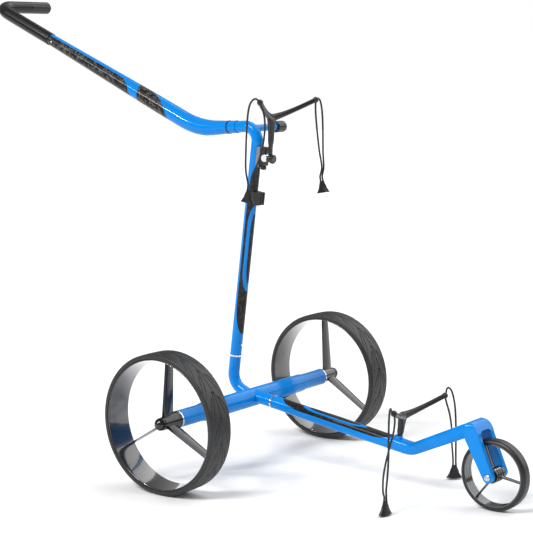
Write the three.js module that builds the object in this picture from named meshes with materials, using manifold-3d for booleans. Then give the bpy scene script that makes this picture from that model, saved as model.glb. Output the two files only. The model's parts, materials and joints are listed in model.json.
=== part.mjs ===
// Three-wheel golf trolley: a demountable drive cart that carries a golf bag on two cradles.
// Millimetres. +X points to the front wheel, +Z up, +Y to the cart's left. The floor is z = 0 and
// the origin lies on it, under the middle of the cart's length. The pieces are built with the
// rear axle over x = 0, and the whole group is then set in place. Every mesh is one closed body.
import * as THREE from 'three';
import { mergeVertices } from 'three/addons/utils/BufferGeometryUtils.js';
import Module from 'manifold-3d';

const wasm = await Module();
wasm.setup();
const { Manifold } = wasm;

// ---------------------------------------------------------------- driving sizes

const GAP = 0.3; // room left between faces that touch

// Facets around round things
const WHEEL_SIDES = 40; // a multiple of 4, so that a flat meets the floor
const FRONT_WHEEL_SIDES = 32;
const AXLE_SIDES = 28;
const TUBE_SIDES = 20;
const BORE_SIDES = 14;
const PIN_SIDES = 10;

// Rear axle
const TRACK_WIDTH = 628; // over the outer faces of the rear tyres
const AXLE_TUBE_LENGTH = 500;
const AXLE_AHEAD = 61.659; // of the origin, which is under the middle of the length within 4 mm
const AXLE_MIDDLE_DIAMETER = 40;
const AXLE_END_DIAMETER = 36;
const AXLE_WALL = 2;
const AXLE_MIDDLE_LENGTH = 340; // the thick stretch between the two shoulders
const AXLE_SHOULDER_LENGTH = 25;
const MOTOR_LENGTH = 112;
const MOTOR_SOCKET_DEPTH = 12; // how far the shaft reaches into the gearbox
const GEARBOX_LENGTH = 34;
const BEARING_WIDTH = 8;
const BEARING_INSET = 6;
const CAP_NOSE_RADIUS = 11.5;
const TRIM_RING_WIDTH = 2.5;
const SHAFT_DIAMETER = 12;
const SHAFT_CLEARANCE = 0.3;
const DRIVE_HEX = 15; // across the flats
const DRIVE_HEX_LENGTH = 8;

// Rear wheels
const REAR_WHEEL_RADIUS = 145;
const REAR_TYRE_WIDTH = 61;
const REAR_TYRE_DEPTH = 9.7;
const REAR_RIM_WALL = 3;
const HUB_INNER_DIAMETER = 36; // the barrel is a cone, thick end towards the axle
const HUB_OUTER_DIAMETER = 27;
const HUB_END_INSET = 16; // barrel's outer end, in from the tyre's outer face
const SPOKE_COUNT = 3;
const REAR_SPOKE_ROOT_WIDTH = 35;
const REAR_SPOKE_TIP_WIDTH = 25;
const REAR_SPOKE_THICKNESS = 6;
const RELEASE_TRAVEL = 2; // press travel of the quick-release dome
const CAP_STEM_RADIUS = 7.5;

// Mast and its stub
const MAST_LEAN = THREE.MathUtils.degToRad(7.9); // forwards
const MAST_DIAMETER = 25;
const MAST_WALL = 2;
const MAST_LENGTH = 470; // straight run above the joint ring
const STUB_LENGTH = 64; // from the joint ring down to the stub's corner
const STUB_BEND_RADIUS = 36;
const MAST_FOOT_X = -46.3;
const MAST_FOOT_Z = 231.3;
const ELBOW_RADIUS = 30;
const ELBOW_TAIL = 20; // straight run after the elbow
const JOINT_RING_WIDTH = 3.5;
const SPIGOT_LENGTH = 55;
const BUTTON_DIAMETER = 5;
const BUTTON_PROUD = 1.5;
const BUTTON_HEIGHT = 27; // above the joint ring

// Handle
const HANDLE_DROOP = THREE.MathUtils.degToRad(3.4); // the short run behind the elbow sinks
const HANDLE_RISE = THREE.MathUtils.degToRad(23.7);
const HANDLE_BEND_RADIUS = 180;
const COUPLING_LENGTH = 20;
const HANDLE_SPIGOT_LENGTH = 36;
const HANDLE_ROOT_DIAMETER = 28;
const HANDLE_BEND_DIAMETER = 37;
const HANDLE_TIP_DIAMETER = 26;
const HANDLE_LEVEL_RUN = 84; // from the joint to the bend's corner
const HANDLE_SLOPE_RUN = 489; // from that corner to the sleeve
const SLEEVE_SLOPE_RUN = 198; // from the sleeve's start to the grip's corner
const SLEEVE_DIAMETER = 29;
const SLEEVE_WALL = 3;
const SLEEVE_BEND_RADIUS = 46;
const GRIP_LENGTH = 108; // from the cart's middle to the dial's seam
const DIAL_LENGTH = 62;
const DIAL_DIAMETER = 29;
const DIAL_FLUTES = 12;
const DIAL_POCKET = 40;

// Front arm, fork and wheel
const NECK_LENGTH = 56; // axle centre to the joint ring
const NECK_DIAMETER = 28;
const NECK_HEIGHT = 5.2; // above the axle's centre where the neck's line crosses x = 0
const ARM_FALL = THREE.MathUtils.degToRad(8);
const ARM_VALLEY_X = 409.7;
const ARM_VALLEY_RADIUS = 45;
const ARM_WIDTH = 27;
const ARM_HEIGHT = 27;
const ARM_WALL = 2.4;
const FRONT_WHEEL_X = 597.3;
const FRONT_WHEEL_RADIUS = 71;
const FRONT_TYRE_WIDTH = 26.4;
const FRONT_TYRE_DEPTH = 7.7;
const FRONT_RIM_WALL = 2.6;
const FRONT_HUB_DIAMETER = 29;
const FRONT_SPOKE_WIDTH = 14;
const FRONT_SPOKE_THICKNESS = 5;
const FORK_WIDTH = 62;
const FORK_SLOT_WIDTH = 40;
const FORK_END_RADIUS = 11;
const TYRE_CLEARANCE = 15; // tyre to the arch of the fork
const CROWN_THICKNESS = 17;
const CROWN_BACK = 52; // crown's back face, behind the front axle
const FRONT_BOLT_DIAMETER = 8;

// Cradles
const CRADLE_HALF_SPAN = 96.5;
const CRADLE_BAR = 9.6;
const CRADLE_TIP_RADIUS = 6.5;
const HINGE_HEIGHT = 443; // up the mast from the joint ring
const PLATE_WIDTH = 20;
const PLATE_LENGTH = 43;
const PLATE_THICKNESS = 4.5;
const BARREL_DIAMETER = 17;
const CRADLE_KNOB_DIAMETER = 20;
const KNOB_STUD_RADIUS = 2.5;
const HINGE_ROOM_HEIGHT = 50; // flat back of the stem, which clears the seat at full tilt
const STEM_FORWARD = 31.7; // stem's middle, forward of the mast's middle
const STEM_LENGTH = 86; // hinge to the fork of the Y
const UPPER_ARM_FORWARD = 44; // how far a tip stands forward of the fork, and above it
const UPPER_ARM_RISE = 35;
const LOWER_SOCKET_X = 375.5;
const LOWER_STEM_DIAMETER = 12;
const LOWER_STEM_LEAN = 9.5; // the fork stands this far forward of the socket
const LOWER_STEM_LENGTH = 47; // arm's top to the fork of the Y
const LOWER_ARM_FORWARD = 40.5;
const LOWER_ARM_RISE = 29;
const LOWER_SOCKET_DEPTH = 20;
const LOWER_SOCKET_PROUD = 5;
const LOWER_PLUG_RADIUS = 5;

// Bumper and accessory holder
const BUMPER_HEIGHT = 354; // up the mast from the joint ring
const BUMPER_LENGTH = 27;
const BUMPER_DEPTH = 13;
const BUMPER_WIDTH = 22;
const HOLDER_HEIGHT = 499; // its axis, up the mast from the joint ring
const HOLDER_BACK = 13; // and behind the mast's middle line
const HOLDER_DIAMETER = 15;
const HOLDER_REACH = 75;
const HOLDER_CAP_DIAMETER = 25;
const HOLDER_CAP_LENGTH = 29;
const HOLDER_PLUG_RADIUS = 4.5;
const HOLDER_PLUG_LENGTH = 14;

// Cords and hooks
const CORD_DIAMETER = 4;
const CORD_SIDES = 8;
const CORD_STEPS = 44;
const HOOK_WIDTH = 34;
const HOOK_DEPTH = 14;
const HOOK_HEIGHT = 26;
const HOOK_WALL = 1.6;

// ---------------------------------------------------------------- finishes

const finish = (color, roughness, metalness = 0) =>
  new THREE.MeshStandardMaterial({ color, roughness, metalness });
const BLUE_PAINT = finish(0x0a78d8, 0.22);
const BLACK_CARBON = finish(0x161719, 0.28);
const RUBBER = finish(0x2c2c2d, 0.75);
const BLACK_PLASTIC = finish(0x1c1c1e, 0.45);
const CHROME = finish(0xd9dbdd, 0.15, 1);
const ALUMINIUM = finish(0x9a9da1, 0.4, 1);
const STEEL = finish(0xb4b6b8, 0.3, 1);
const FOAM = finish(0x1b1b1c, 0.85);
const ELASTIC = finish(0x232325, 0.9);

// ---------------------------------------------------------------- solid helpers

const vec = (x, y, z) => new THREE.Vector3(x, y, z);
const SIDE = vec(0, 1, 0);

/** A closed three.js geometry as a manifold solid. */
function solid(geometry) {
  const bare = new THREE.BufferGeometry();
  bare.setAttribute('position', geometry.getAttribute('position').clone());
  if (geometry.index) bare.setIndex(geometry.index.clone());
  const welded = mergeVertices(bare, 1e-4);
  const corners = welded.index.array;
  const kept = [];
  for (let i = 0; i < corners.length; i += 3) {
    const [a, b, c] = [corners[i], corners[i + 1], corners[i + 2]];
    if (a !== b && b !== c && c !== a) kept.push(a, b, c);
  }
  return new Manifold(new wasm.Mesh({
    numProp: 3,
    vertProperties: new Float32Array(welded.getAttribute('position').array),
    triVerts: new Uint32Array(kept),
  }));
}

/** A manifold solid as a flat-shaded three.js geometry. */
function skin(body) {
  const mesh = body.getMesh();
  const geometry = new THREE.BufferGeometry();
  geometry.setAttribute('position', new THREE.BufferAttribute(mesh.vertProperties, 3));
  geometry.setIndex(new THREE.BufferAttribute(mesh.triVerts, 1));
  const flat = geometry.toNonIndexed();
  flat.computeVertexNormals();
  return flat;
}

/** Adds one named piece to a group. */
function piece(group, name, body, material) {
  const mesh = new THREE.Mesh(skin(body), material);
  mesh.name = name;
  group.add(mesh);
}

/** A solid turned about Y from [radius, y] points, listed so that the outer face climbs. */
function turned(profile, sides = TUBE_SIDES) {
  const points = profile.map(([radius, along]) => new THREE.Vector2(radius, along));
  return solid(new THREE.LatheGeometry(points, sides));
}

/** A rod along Y with small chamfers at both ends. */
function rod(radius, from, to, { chamfer = 0.4, sides = BORE_SIDES } = {}) {
  if (chamfer === 0) return turned([[0, from], [radius, from], [radius, to], [0, to]], sides);
  return turned([
    [0, from], [radius - chamfer, from], [radius, from + chamfer],
    [radius, to - chamfer], [radius - chamfer, to], [0, to],
  ], sides);
}

/** Radius of a faceted hole whose flats stand clear of a round thing of the given radius. */
const clearing = (radius, sides) => radius / Math.cos(Math.PI / sides);

/** A cutter along Y for a round hole that clears the given radius all round. */
function hole(radius, from, to, sides = BORE_SIDES) {
  return rod(clearing(radius, sides), from, to, { chamfer: 0, sides });
}

/** A plain ring along Y. */
function ring(outer, inner, from, to, sides = TUBE_SIDES) {
  return turned([[inner, from], [outer, from], [outer, to], [inner, to], [inner, from]], sides);
}

const alongX = (body) => body.rotate([0, 0, -90]); // turns a solid built along Y to lie along X
const alongZ = (body) => body.rotate([90, 0, 0]);

function box(width, depth, height) {
  return Manifold.cube([width, depth, height], true);
}

/** Carries a solid into the place of an Object3D. */
function placed(body, frame) {
  frame.updateMatrixWorld(true);
  return body.transform(frame.matrixWorld.elements);
}

/** A frame at a point, turned about Y and Z. */
function frameAt(x, y, z, { pitch = 0, yaw = 0 } = {}) {
  const frame = new THREE.Object3D();
  frame.rotation.set(0, pitch, yaw, 'ZYX');
  frame.position.set(x, y, z);
  return frame;
}

/**
 * A route through corner points, each inner corner rounded to its own radius.
 * Gives stations { point, ahead, travelled }, no further apart than step on straight runs.
 */
function route(corners, { step = Infinity, turnStep = 0.2 } = {}) {
  const stations = [];
  let travelled = 0;
  const push = (point, ahead) => {
    const last = stations.at(-1);
    if (last) travelled += last.point.distanceTo(point);
    stations.push({ point, ahead, travelled });
  };
  const run = (from, to) => {
    const ahead = to.clone().sub(from).normalize();
    const count = Math.max(1, Math.ceil(from.distanceTo(to) / step));
    const first = stations.length === 0 ? 0 : 1;
    for (let i = first; i <= count; i++) push(from.clone().lerp(to, i / count), ahead);
  };
  let start = corners[0].at;
  for (let k = 1; k < corners.length - 1; k++) {
    const { at, radius } = corners[k];
    const arriving = at.clone().sub(corners[k - 1].at).normalize();
    const leaving = corners[k + 1].at.clone().sub(at).normalize();
    const turn = arriving.angleTo(leaving);
    const reach = radius * Math.tan(turn / 2);
    const entry = at.clone().addScaledVector(arriving, -reach);
    run(start, entry);
    const axis = arriving.clone().cross(leaving).normalize();
    const centre = entry.clone().addScaledVector(axis.clone().cross(arriving), radius);
    const count = Math.ceil(turn / turnStep);
    for (let i = 1; i <= count; i++) {
      const angle = (turn * i) / count;
      const arm = entry.clone().sub(centre).applyAxisAngle(axis, angle);
      push(centre.clone().add(arm), arriving.clone().applyAxisAngle(axis, angle));
    }
    start = stations.at(-1).point;
  }
  run(start, corners.at(-1).at);
  return stations;
}

/**
 * A solid lofted along stations. section(travelled) gives the half sizes { wide, high } and power:
 * 2 is an ellipse and more is a rounded box. The wide axis starts along startSide.
 */
function loft(stations, section, { sides = TUBE_SIDES, startSide = SIDE } = {}) {
  const positions = [];
  let across = startSide.clone();
  stations.forEach(({ point, ahead, travelled }, i) => {
    if (i > 0) {
      const turn = new THREE.Quaternion().setFromUnitVectors(stations[i - 1].ahead, ahead);
      across.applyQuaternion(turn);
    }
    across.addScaledVector(ahead, -across.dot(ahead)).normalize();
    const upward = ahead.clone().cross(across);
    const { wide, high, power = 2 } = section(travelled);
    for (let k = 0; k < sides; k++) {
      const angle = (2 * Math.PI * k) / sides;
      const bend = (value) => Math.sign(value) * Math.abs(value) ** (2 / power);
      const at = point.clone()
        .addScaledVector(across, wide * bend(Math.cos(angle)))
        .addScaledVector(upward, high * bend(Math.sin(angle)));
      positions.push(at.x, at.y, at.z);
    }
  });
  const faces = [];
  for (let i = 0; i + 1 < stations.length; i++) {
    for (let k = 0; k < sides; k++) {
      const next = (k + 1) % sides;
      const [a, b] = [i * sides + k, i * sides + next];
      const [c, d] = [(i + 1) * sides + next, (i + 1) * sides + k];
      faces.push(a, b, c, a, c, d);
    }
  }
  const last = (stations.length - 1) * sides;
  for (let k = 1; k + 1 < sides; k++) {
    faces.push(0, k + 1, k, last, last + k, last + k + 1);
  }
  const geometry = new THREE.BufferGeometry();
  geometry.setAttribute('position', new THREE.Float32BufferAttribute(positions, 3));
  geometry.setIndex(faces);
  return solid(geometry);
}

/** A round bar along stations. */
function bar(stations, radius, options) {
  return loft(stations, () => ({ wide: radius, high: radius }), options);
}

/** A cutter along stations for a round bore that clears the given radius. */
function bore(stations, radius, sides = BORE_SIDES) {
  return bar(stations, clearing(radius, sides), { sides });
}

/** A value that eases from one named level to the next along a length. */
function eased(levels, at) {
  const next = levels.findIndex(([along]) => along > at);
  if (next === 0) return levels[0][1];
  if (next < 0) return levels.at(-1)[1];
  const [[x0, y0], [x1, y1]] = [levels[next - 1], levels[next]];
  return THREE.MathUtils.lerp(y0, y1, THREE.MathUtils.smoothstep(at, x0, x1));
}

/** A ball of the given radius at a point. */
function ball(radius, at, sides = PIN_SIDES) {
  const geometry = new THREE.SphereGeometry(radius, sides, Math.round(sides / 2));
  return solid(geometry.translate(at.x, at.y, at.z));
}

/** An outline on the XZ plane pushed out to both sides of y = 0. */
function slab(shape, width, { curveSegments = 6 } = {}) {
  const geometry = new THREE.ExtrudeGeometry(shape, {
    depth: width, bevelEnabled: false, curveSegments,
  });
  return solid(geometry).translate([0, 0, -width / 2]).rotate([90, 0, 0]);
}

// ---------------------------------------------------------------- shared places

const trolley = new THREE.Group();
const AXLE_Z = REAR_WHEEL_RADIUS;
const tubeHalf = AXLE_TUBE_LENGTH / 2;
const axleBore = AXLE_END_DIAMETER / 2 - AXLE_WALL;

// The mast's own frame: its foot at the joint ring, its z along the mast, its x forwards.
const mastFrame = frameAt(MAST_FOOT_X, 0, MAST_FOOT_Z, { pitch: MAST_LEAN });
mastFrame.updateMatrixWorld(true);
const onMast = (forward, side, up) => mastFrame.localToWorld(vec(forward, side, up));
const mastBore = MAST_DIAMETER / 2 - MAST_WALL;
const spigotRadius = mastBore - GAP;

// The elbow turns the mast's line into the handle's level run.
const elbowTurn = Math.PI / 2 + MAST_LEAN + HANDLE_DROOP;
const elbowReach = ELBOW_RADIUS * Math.tan(elbowTurn / 2);
const mastDirection = vec(Math.sin(MAST_LEAN), 0, Math.cos(MAST_LEAN));
const levelDirection = vec(-Math.cos(HANDLE_DROOP), 0, -Math.sin(HANDLE_DROOP));
const slopeDirection = vec(-Math.cos(HANDLE_RISE), 0, Math.sin(HANDLE_RISE));
const elbowCorner = onMast(0, 0, MAST_LENGTH + elbowReach);
const along = (from, direction, distance) => from.clone().addScaledVector(direction, distance);
const couplingStart = along(elbowCorner, levelDirection, elbowReach + ELBOW_TAIL);
const handleJoint = along(couplingStart, levelDirection, COUPLING_LENGTH + GAP);
const handleStart = along(handleJoint, levelDirection, JOINT_RING_WIDTH + GAP);
const handleCorner = along(handleStart, levelDirection, HANDLE_LEVEL_RUN);
const sleeveStart = along(handleCorner, slopeDirection, HANDLE_SLOPE_RUN);
const gripCorner = along(sleeveStart, slopeDirection, SLEEVE_SLOPE_RUN);
const gripEnd = along(gripCorner, SIDE, GRIP_LENGTH);

// The front arm falls from the axle to a valley and rises to the crown of the fork, which stands
// clear of the tyre.
const fallDirection = vec(Math.cos(ARM_FALL), 0, -Math.sin(ARM_FALL));
const neckOrigin = vec(0, 0, AXLE_Z + NECK_HEIGHT);
const ringStart = along(neckOrigin, fallDirection, NECK_LENGTH);
const armStart = along(ringStart, fallDirection, JOINT_RING_WIDTH + 2 * GAP);
const armValley = along(neckOrigin, fallDirection, ARM_VALLEY_X / Math.cos(ARM_FALL));
const crownBackX = FRONT_WHEEL_X - CROWN_BACK;
const archTop = 2 * FRONT_WHEEL_RADIUS + TYRE_CLEARANCE;
const crownTop = archTop + CROWN_THICKNESS;
const armMeetsCrown = vec(crownBackX, 0, crownTop - 18.2);
const riseDirection = armMeetsCrown.clone().sub(armValley).normalize();
const armEnd = along(armMeetsCrown, riseDirection, 12);
const lowerSocketTop = neckOrigin.z - LOWER_SOCKET_X * Math.tan(ARM_FALL) + ARM_HEIGHT / 2
  + LOWER_SOCKET_PROUD;

// ---------------------------------------------------------------- rear axle

function buildAxleTube() {
  const middle = AXLE_MIDDLE_LENGTH / 2;
  const [thick, thin] = [AXLE_MIDDLE_DIAMETER / 2, AXLE_END_DIAMETER / 2];
  const shoulder = [0, 0.25, 0.5, 0.75, 1].map((t) => [
    THREE.MathUtils.lerp(thick, thin, (1 - Math.cos(Math.PI * t)) / 2),
    middle + AXLE_SHOULDER_LENGTH * t,
  ]);
  const outer = [
    [thin, -tubeHalf],
    ...shoulder.map(([radius, y]) => [radius, -y]).reverse(),
    ...shoulder,
    [thin, tubeHalf],
  ];
  const inner = [[axleBore, tubeHalf], [axleBore, -tubeHalf], [thin, -tubeHalf]];
  const tube = turned([...outer, ...inner], AXLE_SIDES).translate([0, 0, AXLE_Z]);
  piece(trolley, 'axle_tube', tube, BLUE_PAINT);
}

const axleEnvelope = () =>
  rod(AXLE_MIDDLE_DIAMETER / 2 + GAP, -tubeHalf, tubeHalf, { sides: AXLE_SIDES })
    .translate([0, 0, AXLE_Z]);

const plugRadius = axleBore - GAP;
const bearingEnd = tubeHalf - BEARING_INSET;
const bearingStart = bearingEnd - BEARING_WIDTH;
const motorEnd = bearingStart - GAP;
const shaftRadius = SHAFT_DIAMETER / 2;
const shaftHole = shaftRadius + SHAFT_CLEARANCE;
const ringFace = tubeHalf + GAP + TRIM_RING_WIDTH;
const capFace = ringFace + 0.6;
const hubStart = capFace + GAP;
const hubEnd = TRACK_WIDTH / 2 - HUB_END_INSET;
const hexStart = hubStart + 1;
const shaftEnd = hubEnd - 10;

function hexRod(acrossFlats, from, to) {
  return turned([
    [0, from], [acrossFlats / Math.sqrt(3), from], [acrossFlats / Math.sqrt(3), to], [0, to],
  ], 6);
}

/** What stays with the axle at one end: gear motor, bearing, end cap and trim ring. */
function buildAxleEnd(side, sideName) {
  const [motorStart, gearboxStart] = [motorEnd - MOTOR_LENGTH, motorEnd - GEARBOX_LENGTH];
  const [gearboxRadius, bossRadius, bossLength] = [plugRadius - 1.2, 9, 3];
  const motor = turned([
    [0, motorStart], [plugRadius, motorStart], [plugRadius, gearboxStart],
    [gearboxRadius, gearboxStart + 1], [gearboxRadius, motorEnd - bossLength],
    [bossRadius, motorEnd - bossLength], [bossRadius, motorEnd], [shaftHole, motorEnd],
    [shaftHole, motorEnd - MOTOR_SOCKET_DEPTH], [0, motorEnd - MOTOR_SOCKET_DEPTH],
  ]);
  piece(side, `gear_motor_${sideName}`, motor, STEEL);
  piece(side, `axle_bearing_${sideName}`, ring(plugRadius, shaftHole, bearingStart, bearingEnd), STEEL);
  const cap = turned([
    [shaftHole, bearingEnd + GAP], [plugRadius, bearingEnd + GAP], [plugRadius, tubeHalf],
    [CAP_NOSE_RADIUS, tubeHalf], [CAP_NOSE_RADIUS, capFace], [shaftHole, capFace],
    [shaftHole, bearingEnd + GAP],
  ]);
  piece(side, `axle_end_cap_${sideName}`, cap, BLACK_PLASTIC);
  const trim = ring(AXLE_END_DIAMETER / 2 + 1, clearing(CAP_NOSE_RADIUS + GAP, TUBE_SIDES),
    tubeHalf + GAP, ringFace);
  piece(side, `axle_trim_ring_${sideName}`, trim, CHROME);
}

function buildDriveShaft(side, sideName) {
  const groove = shaftEnd - 9;
  const shaft = turned([
    [0, motorEnd - MOTOR_SOCKET_DEPTH + GAP], [shaftRadius, motorEnd - MOTOR_SOCKET_DEPTH + GAP],
    [shaftRadius, groove - 2], [shaftRadius - 1.2, groove - 1.2], [shaftRadius - 1.2, groove + 1.2],
    [shaftRadius, groove + 2], [shaftRadius, shaftEnd - 1.5], [shaftRadius - 1.5, shaftEnd],
    [0, shaftEnd],
  ]).add(hexRod(DRIVE_HEX, hexStart, hexStart + DRIVE_HEX_LENGTH));
  piece(side, `drive_shaft_${sideName}`, shaft, STEEL);
}

// ---------------------------------------------------------------- wheels

/**
 * Tyre about Y, centred on y = 0, with rounded shoulders and a shallow middle groove.
 * Its facets touch the radius with their middles, and one of them lies flat underneath.
 */
function tyre(radius, depth, width, { groove = 0.8, sides = WHEEL_SIDES } = {}) {
  const half = width / 2;
  const shoulder = Math.min(depth * 0.55, half * 0.4);
  const round = [0, 0.5, 1].map((t) => [
    radius - shoulder * (1 - Math.sin((Math.PI / 2) * t)),
    -half + shoulder * (1 - Math.cos((Math.PI / 2) * t)),
  ]);
  const lower = [[radius - depth, -half], ...round, [radius, -1.6], [radius - groove, -0.8]];
  const upper = lower.map(([r, y]) => [r, -y]).reverse();
  const outline = [...lower, ...upper, lower[0]].map(([r, y]) => [clearing(r, sides), y]);
  return turned(outline, sides).rotate([0, 180 / sides, 0]);
}

/** Thin wheel rim about Y, centred on y = 0. */
function rim(radius, wall, width, sides = WHEEL_SIDES) {
  return ring(radius, radius - wall, -width / 2, width / 2, sides);
}

/** One blade spoke pointing up Z from the wheel's middle, wide along Y. */
function spoke(rootRadius, tipRadius, rootWidth, tipWidth, thickness, rootY, tipY) {
  const stations = [0, 0.25, 1].map((t) => ({
    point: vec(0, THREE.MathUtils.lerp(rootY, tipY, t), THREE.MathUtils.lerp(rootRadius, tipRadius, t)),
    ahead: vec(0, 0, 1),
    travelled: t,
  }));
  return loft(stations, (t) => ({
    wide: THREE.MathUtils.lerp(rootWidth, tipWidth, t) / 2,
    high: (thickness / 2) * (1 + 0.5 * Math.max(0, 1 - 4 * t)) * (1 - 0.2 * t),
    power: 1.5,
  }), { sides: 8 });
}

/** Rear hub barrel with its spokes, about Y, outboard at +Y. */
function rearSpider() {
  const rimInner = REAR_WHEEL_RADIUS - REAR_TYRE_DEPTH - GAP - REAR_RIM_WALL;
  const spokeTip = rimInner * Math.cos(Math.PI / WHEEL_SIDES) - GAP;
  const [inner, outer] = [HUB_INNER_DIAMETER / 2, HUB_OUTER_DIAMETER / 2];
  const barrel = turned([
    [0, hubStart], [inner, hubStart], [inner, hubStart + 3], [inner - 1, hubStart + 4],
    [outer + 0.6, hubEnd - 12], [outer, hubEnd - 0.6], [outer - 0.6, hubEnd], [0, hubEnd],
  ]);
  const middle = TRACK_WIDTH / 2 - REAR_TYRE_WIDTH / 2;
  const [rootY, tipY] = [middle - 3, middle - 12];
  let spider = barrel;
  for (let i = 0; i < SPOKE_COUNT; i++) {
    const blade = spoke(10, spokeTip, REAR_SPOKE_ROOT_WIDTH, REAR_SPOKE_TIP_WIDTH,
      REAR_SPOKE_THICKNESS, rootY, tipY);
    spider = spider.add(blade.rotate([0, (360 * i) / SPOKE_COUNT, 0]));
  }
  const shaftBore = hole(shaftHole, hubStart - 1, shaftEnd + 2);
  const hexPocket = hexRod(DRIVE_HEX + 2 * GAP, hubStart - 1, hexStart + DRIVE_HEX_LENGTH + 1);
  const capWell = hole(CAP_STEM_RADIUS + GAP, hubEnd - 6, hubEnd + 1);
  return spider.subtract(shaftBore).subtract(hexPocket).subtract(capWell);
}

function buildRearWheel(side, sideName) {
  const middle = TRACK_WIDTH / 2 - REAR_TYRE_WIDTH / 2;
  const rimRadius = REAR_WHEEL_RADIUS - REAR_TYRE_DEPTH - GAP;
  const treads = tyre(REAR_WHEEL_RADIUS, REAR_TYRE_DEPTH, REAR_TYRE_WIDTH).translate([0, middle, 0]);
  piece(side, `rear_tyre_${sideName}`, treads, RUBBER);
  const shell = rim(rimRadius, REAR_RIM_WALL, REAR_TYRE_WIDTH - 1.5).translate([0, middle, 0]);
  piece(side, `rear_rim_${sideName}`, shell, BLACK_CARBON);
  piece(side, `rear_hub_spokes_${sideName}`, rearSpider(), BLACK_CARBON);
}

/** Quick-release dome: pressing it in frees the wheel from the shaft's groove. */
function buildReleaseCap(side, sideName) {
  const radius = HUB_OUTER_DIAMETER / 2;
  const base = hubEnd + RELEASE_TRAVEL + GAP;
  const dome = [0, 0.25, 0.5, 0.75, 1].map((t) => [
    radius * Math.cos((Math.PI / 2) * t), base + 1 + (radius - 1) * Math.sin((Math.PI / 2) * t),
  ]);
  dome[dome.length - 1][0] = 0;
  const cap = turned([
    [0, base - 4.5], [CAP_STEM_RADIUS, base - 4.5], [CAP_STEM_RADIUS, base], [radius, base], ...dome,
  ], BORE_SIDES);
  piece(side, `release_cap_${sideName}`, cap, BLACK_CARBON);
}

function buildRearEnd(sideName, turn) {
  const side = new THREE.Group();
  side.position.z = AXLE_Z;
  side.rotation.z = turn;
  trolley.add(side);
  buildAxleEnd(side, sideName);
  buildDriveShaft(side, sideName);
  buildRearWheel(side, sideName);
  buildReleaseCap(side, sideName);
}

// ---------------------------------------------------------------- mast

function buildMastStub() {
  const foot = onMast(0, 0, 0);
  const corners = [
    { at: vec(4, 0, AXLE_Z - 1) },
    { at: onMast(0, 0, -STUB_LENGTH), radius: STUB_BEND_RADIUS },
    { at: foot },
  ];
  const stub = bar(route(corners), MAST_DIAMETER / 2);
  const spigot = alongZ(rod(spigotRadius, -10, SPIGOT_LENGTH, { chamfer: 1.5 }));
  const keyway = box(6, BUTTON_DIAMETER + 1.4, 80).translate([spigotRadius + 0.4, 0, BUTTON_HEIGHT + 36]);
  const top = spigot.subtract(keyway);
  const body = stub.subtract(axleEnvelope()).add(placed(top, mastFrame));
  piece(trolley, 'mast_stub', body, BLUE_PAINT);
}

function buildMastRing() {
  const body = alongZ(ring(MAST_DIAMETER / 2 + 0.9, spigotRadius + GAP, GAP, JOINT_RING_WIDTH + GAP));
  piece(trolley, 'mast_joint_ring', placed(body, mastFrame), STEEL);
}

const mastStart = JOINT_RING_WIDTH + 2 * GAP;
const plugTail = 14; // coupling's plug inside the mast's end

function buildMastTube() {
  const corners = [
    { at: onMast(0, 0, mastStart) },
    { at: elbowCorner, radius: ELBOW_RADIUS },
    { at: along(couplingStart, levelDirection, -GAP) },
  ];
  const outer = bar(route(corners), MAST_DIAMETER / 2);
  const longer = [
    { at: onMast(0, 0, mastStart - 5) }, corners[1],
    { at: along(couplingStart, levelDirection, 5) },
  ];
  const buttonHole = placed(
    alongX(hole(BUTTON_DIAMETER / 2 + GAP, 0, MAST_DIAMETER)).translate([0, 0, BUTTON_HEIGHT]), mastFrame);
  const tube = outer.subtract(bore(route(longer), mastBore)).subtract(buttonHole);
  piece(trolley, 'mast_tube', tube, BLUE_PAINT);
}

function buildSnapButton() {
  const from = mastBore + 0.2;
  const to = MAST_DIAMETER / 2 + BUTTON_PROUD;
  const radius = BUTTON_DIAMETER / 2;
  const body = turned([
    [0, from], [radius, from], [radius, to - 0.8], [radius - 0.8, to], [0, to],
  ], PIN_SIDES);
  piece(trolley, 'snap_button', placed(alongX(body).translate([0, 0, BUTTON_HEIGHT]), mastFrame), STEEL);
}

// ---------------------------------------------------------------- handle

const handleBore = HANDLE_ROOT_DIAMETER / 2 - 4.4;

function buildCoupling() {
  const end = along(couplingStart, levelDirection, COUPLING_LENGTH);
  const body = bar(route([{ at: couplingStart }, { at: end }]), HANDLE_ROOT_DIAMETER / 2 - 0.3);
  const plug = bar(route([{ at: along(couplingStart, levelDirection, -plugTail) }, { at: end }]),
    spigotRadius);
  const spigotTip = along(handleStart, levelDirection, HANDLE_SPIGOT_LENGTH);
  const spigot = bar(route([{ at: couplingStart }, { at: spigotTip }]), handleBore - GAP);
  piece(trolley, 'handle_coupling', body.add(plug).add(spigot), BLUE_PAINT);
  const ringEnd = along(handleJoint, levelDirection, JOINT_RING_WIDTH);
  const collar = bar(route([{ at: handleJoint }, { at: ringEnd }]), HANDLE_ROOT_DIAMETER / 2 + 0.6);
  const opening = bore(route([
    { at: along(handleJoint, levelDirection, -2) }, { at: along(ringEnd, levelDirection, 2) },
  ]), handleBore);
  piece(trolley, 'handle_joint_ring', collar.subtract(opening), BLACK_PLASTIC);
}

const sleeveCore = SLEEVE_DIAMETER / 2 - SLEEVE_WALL - GAP;
const potRadius = 8;
const potSpan = 16; // how far the dial's switch body sits into the grip's core

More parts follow.
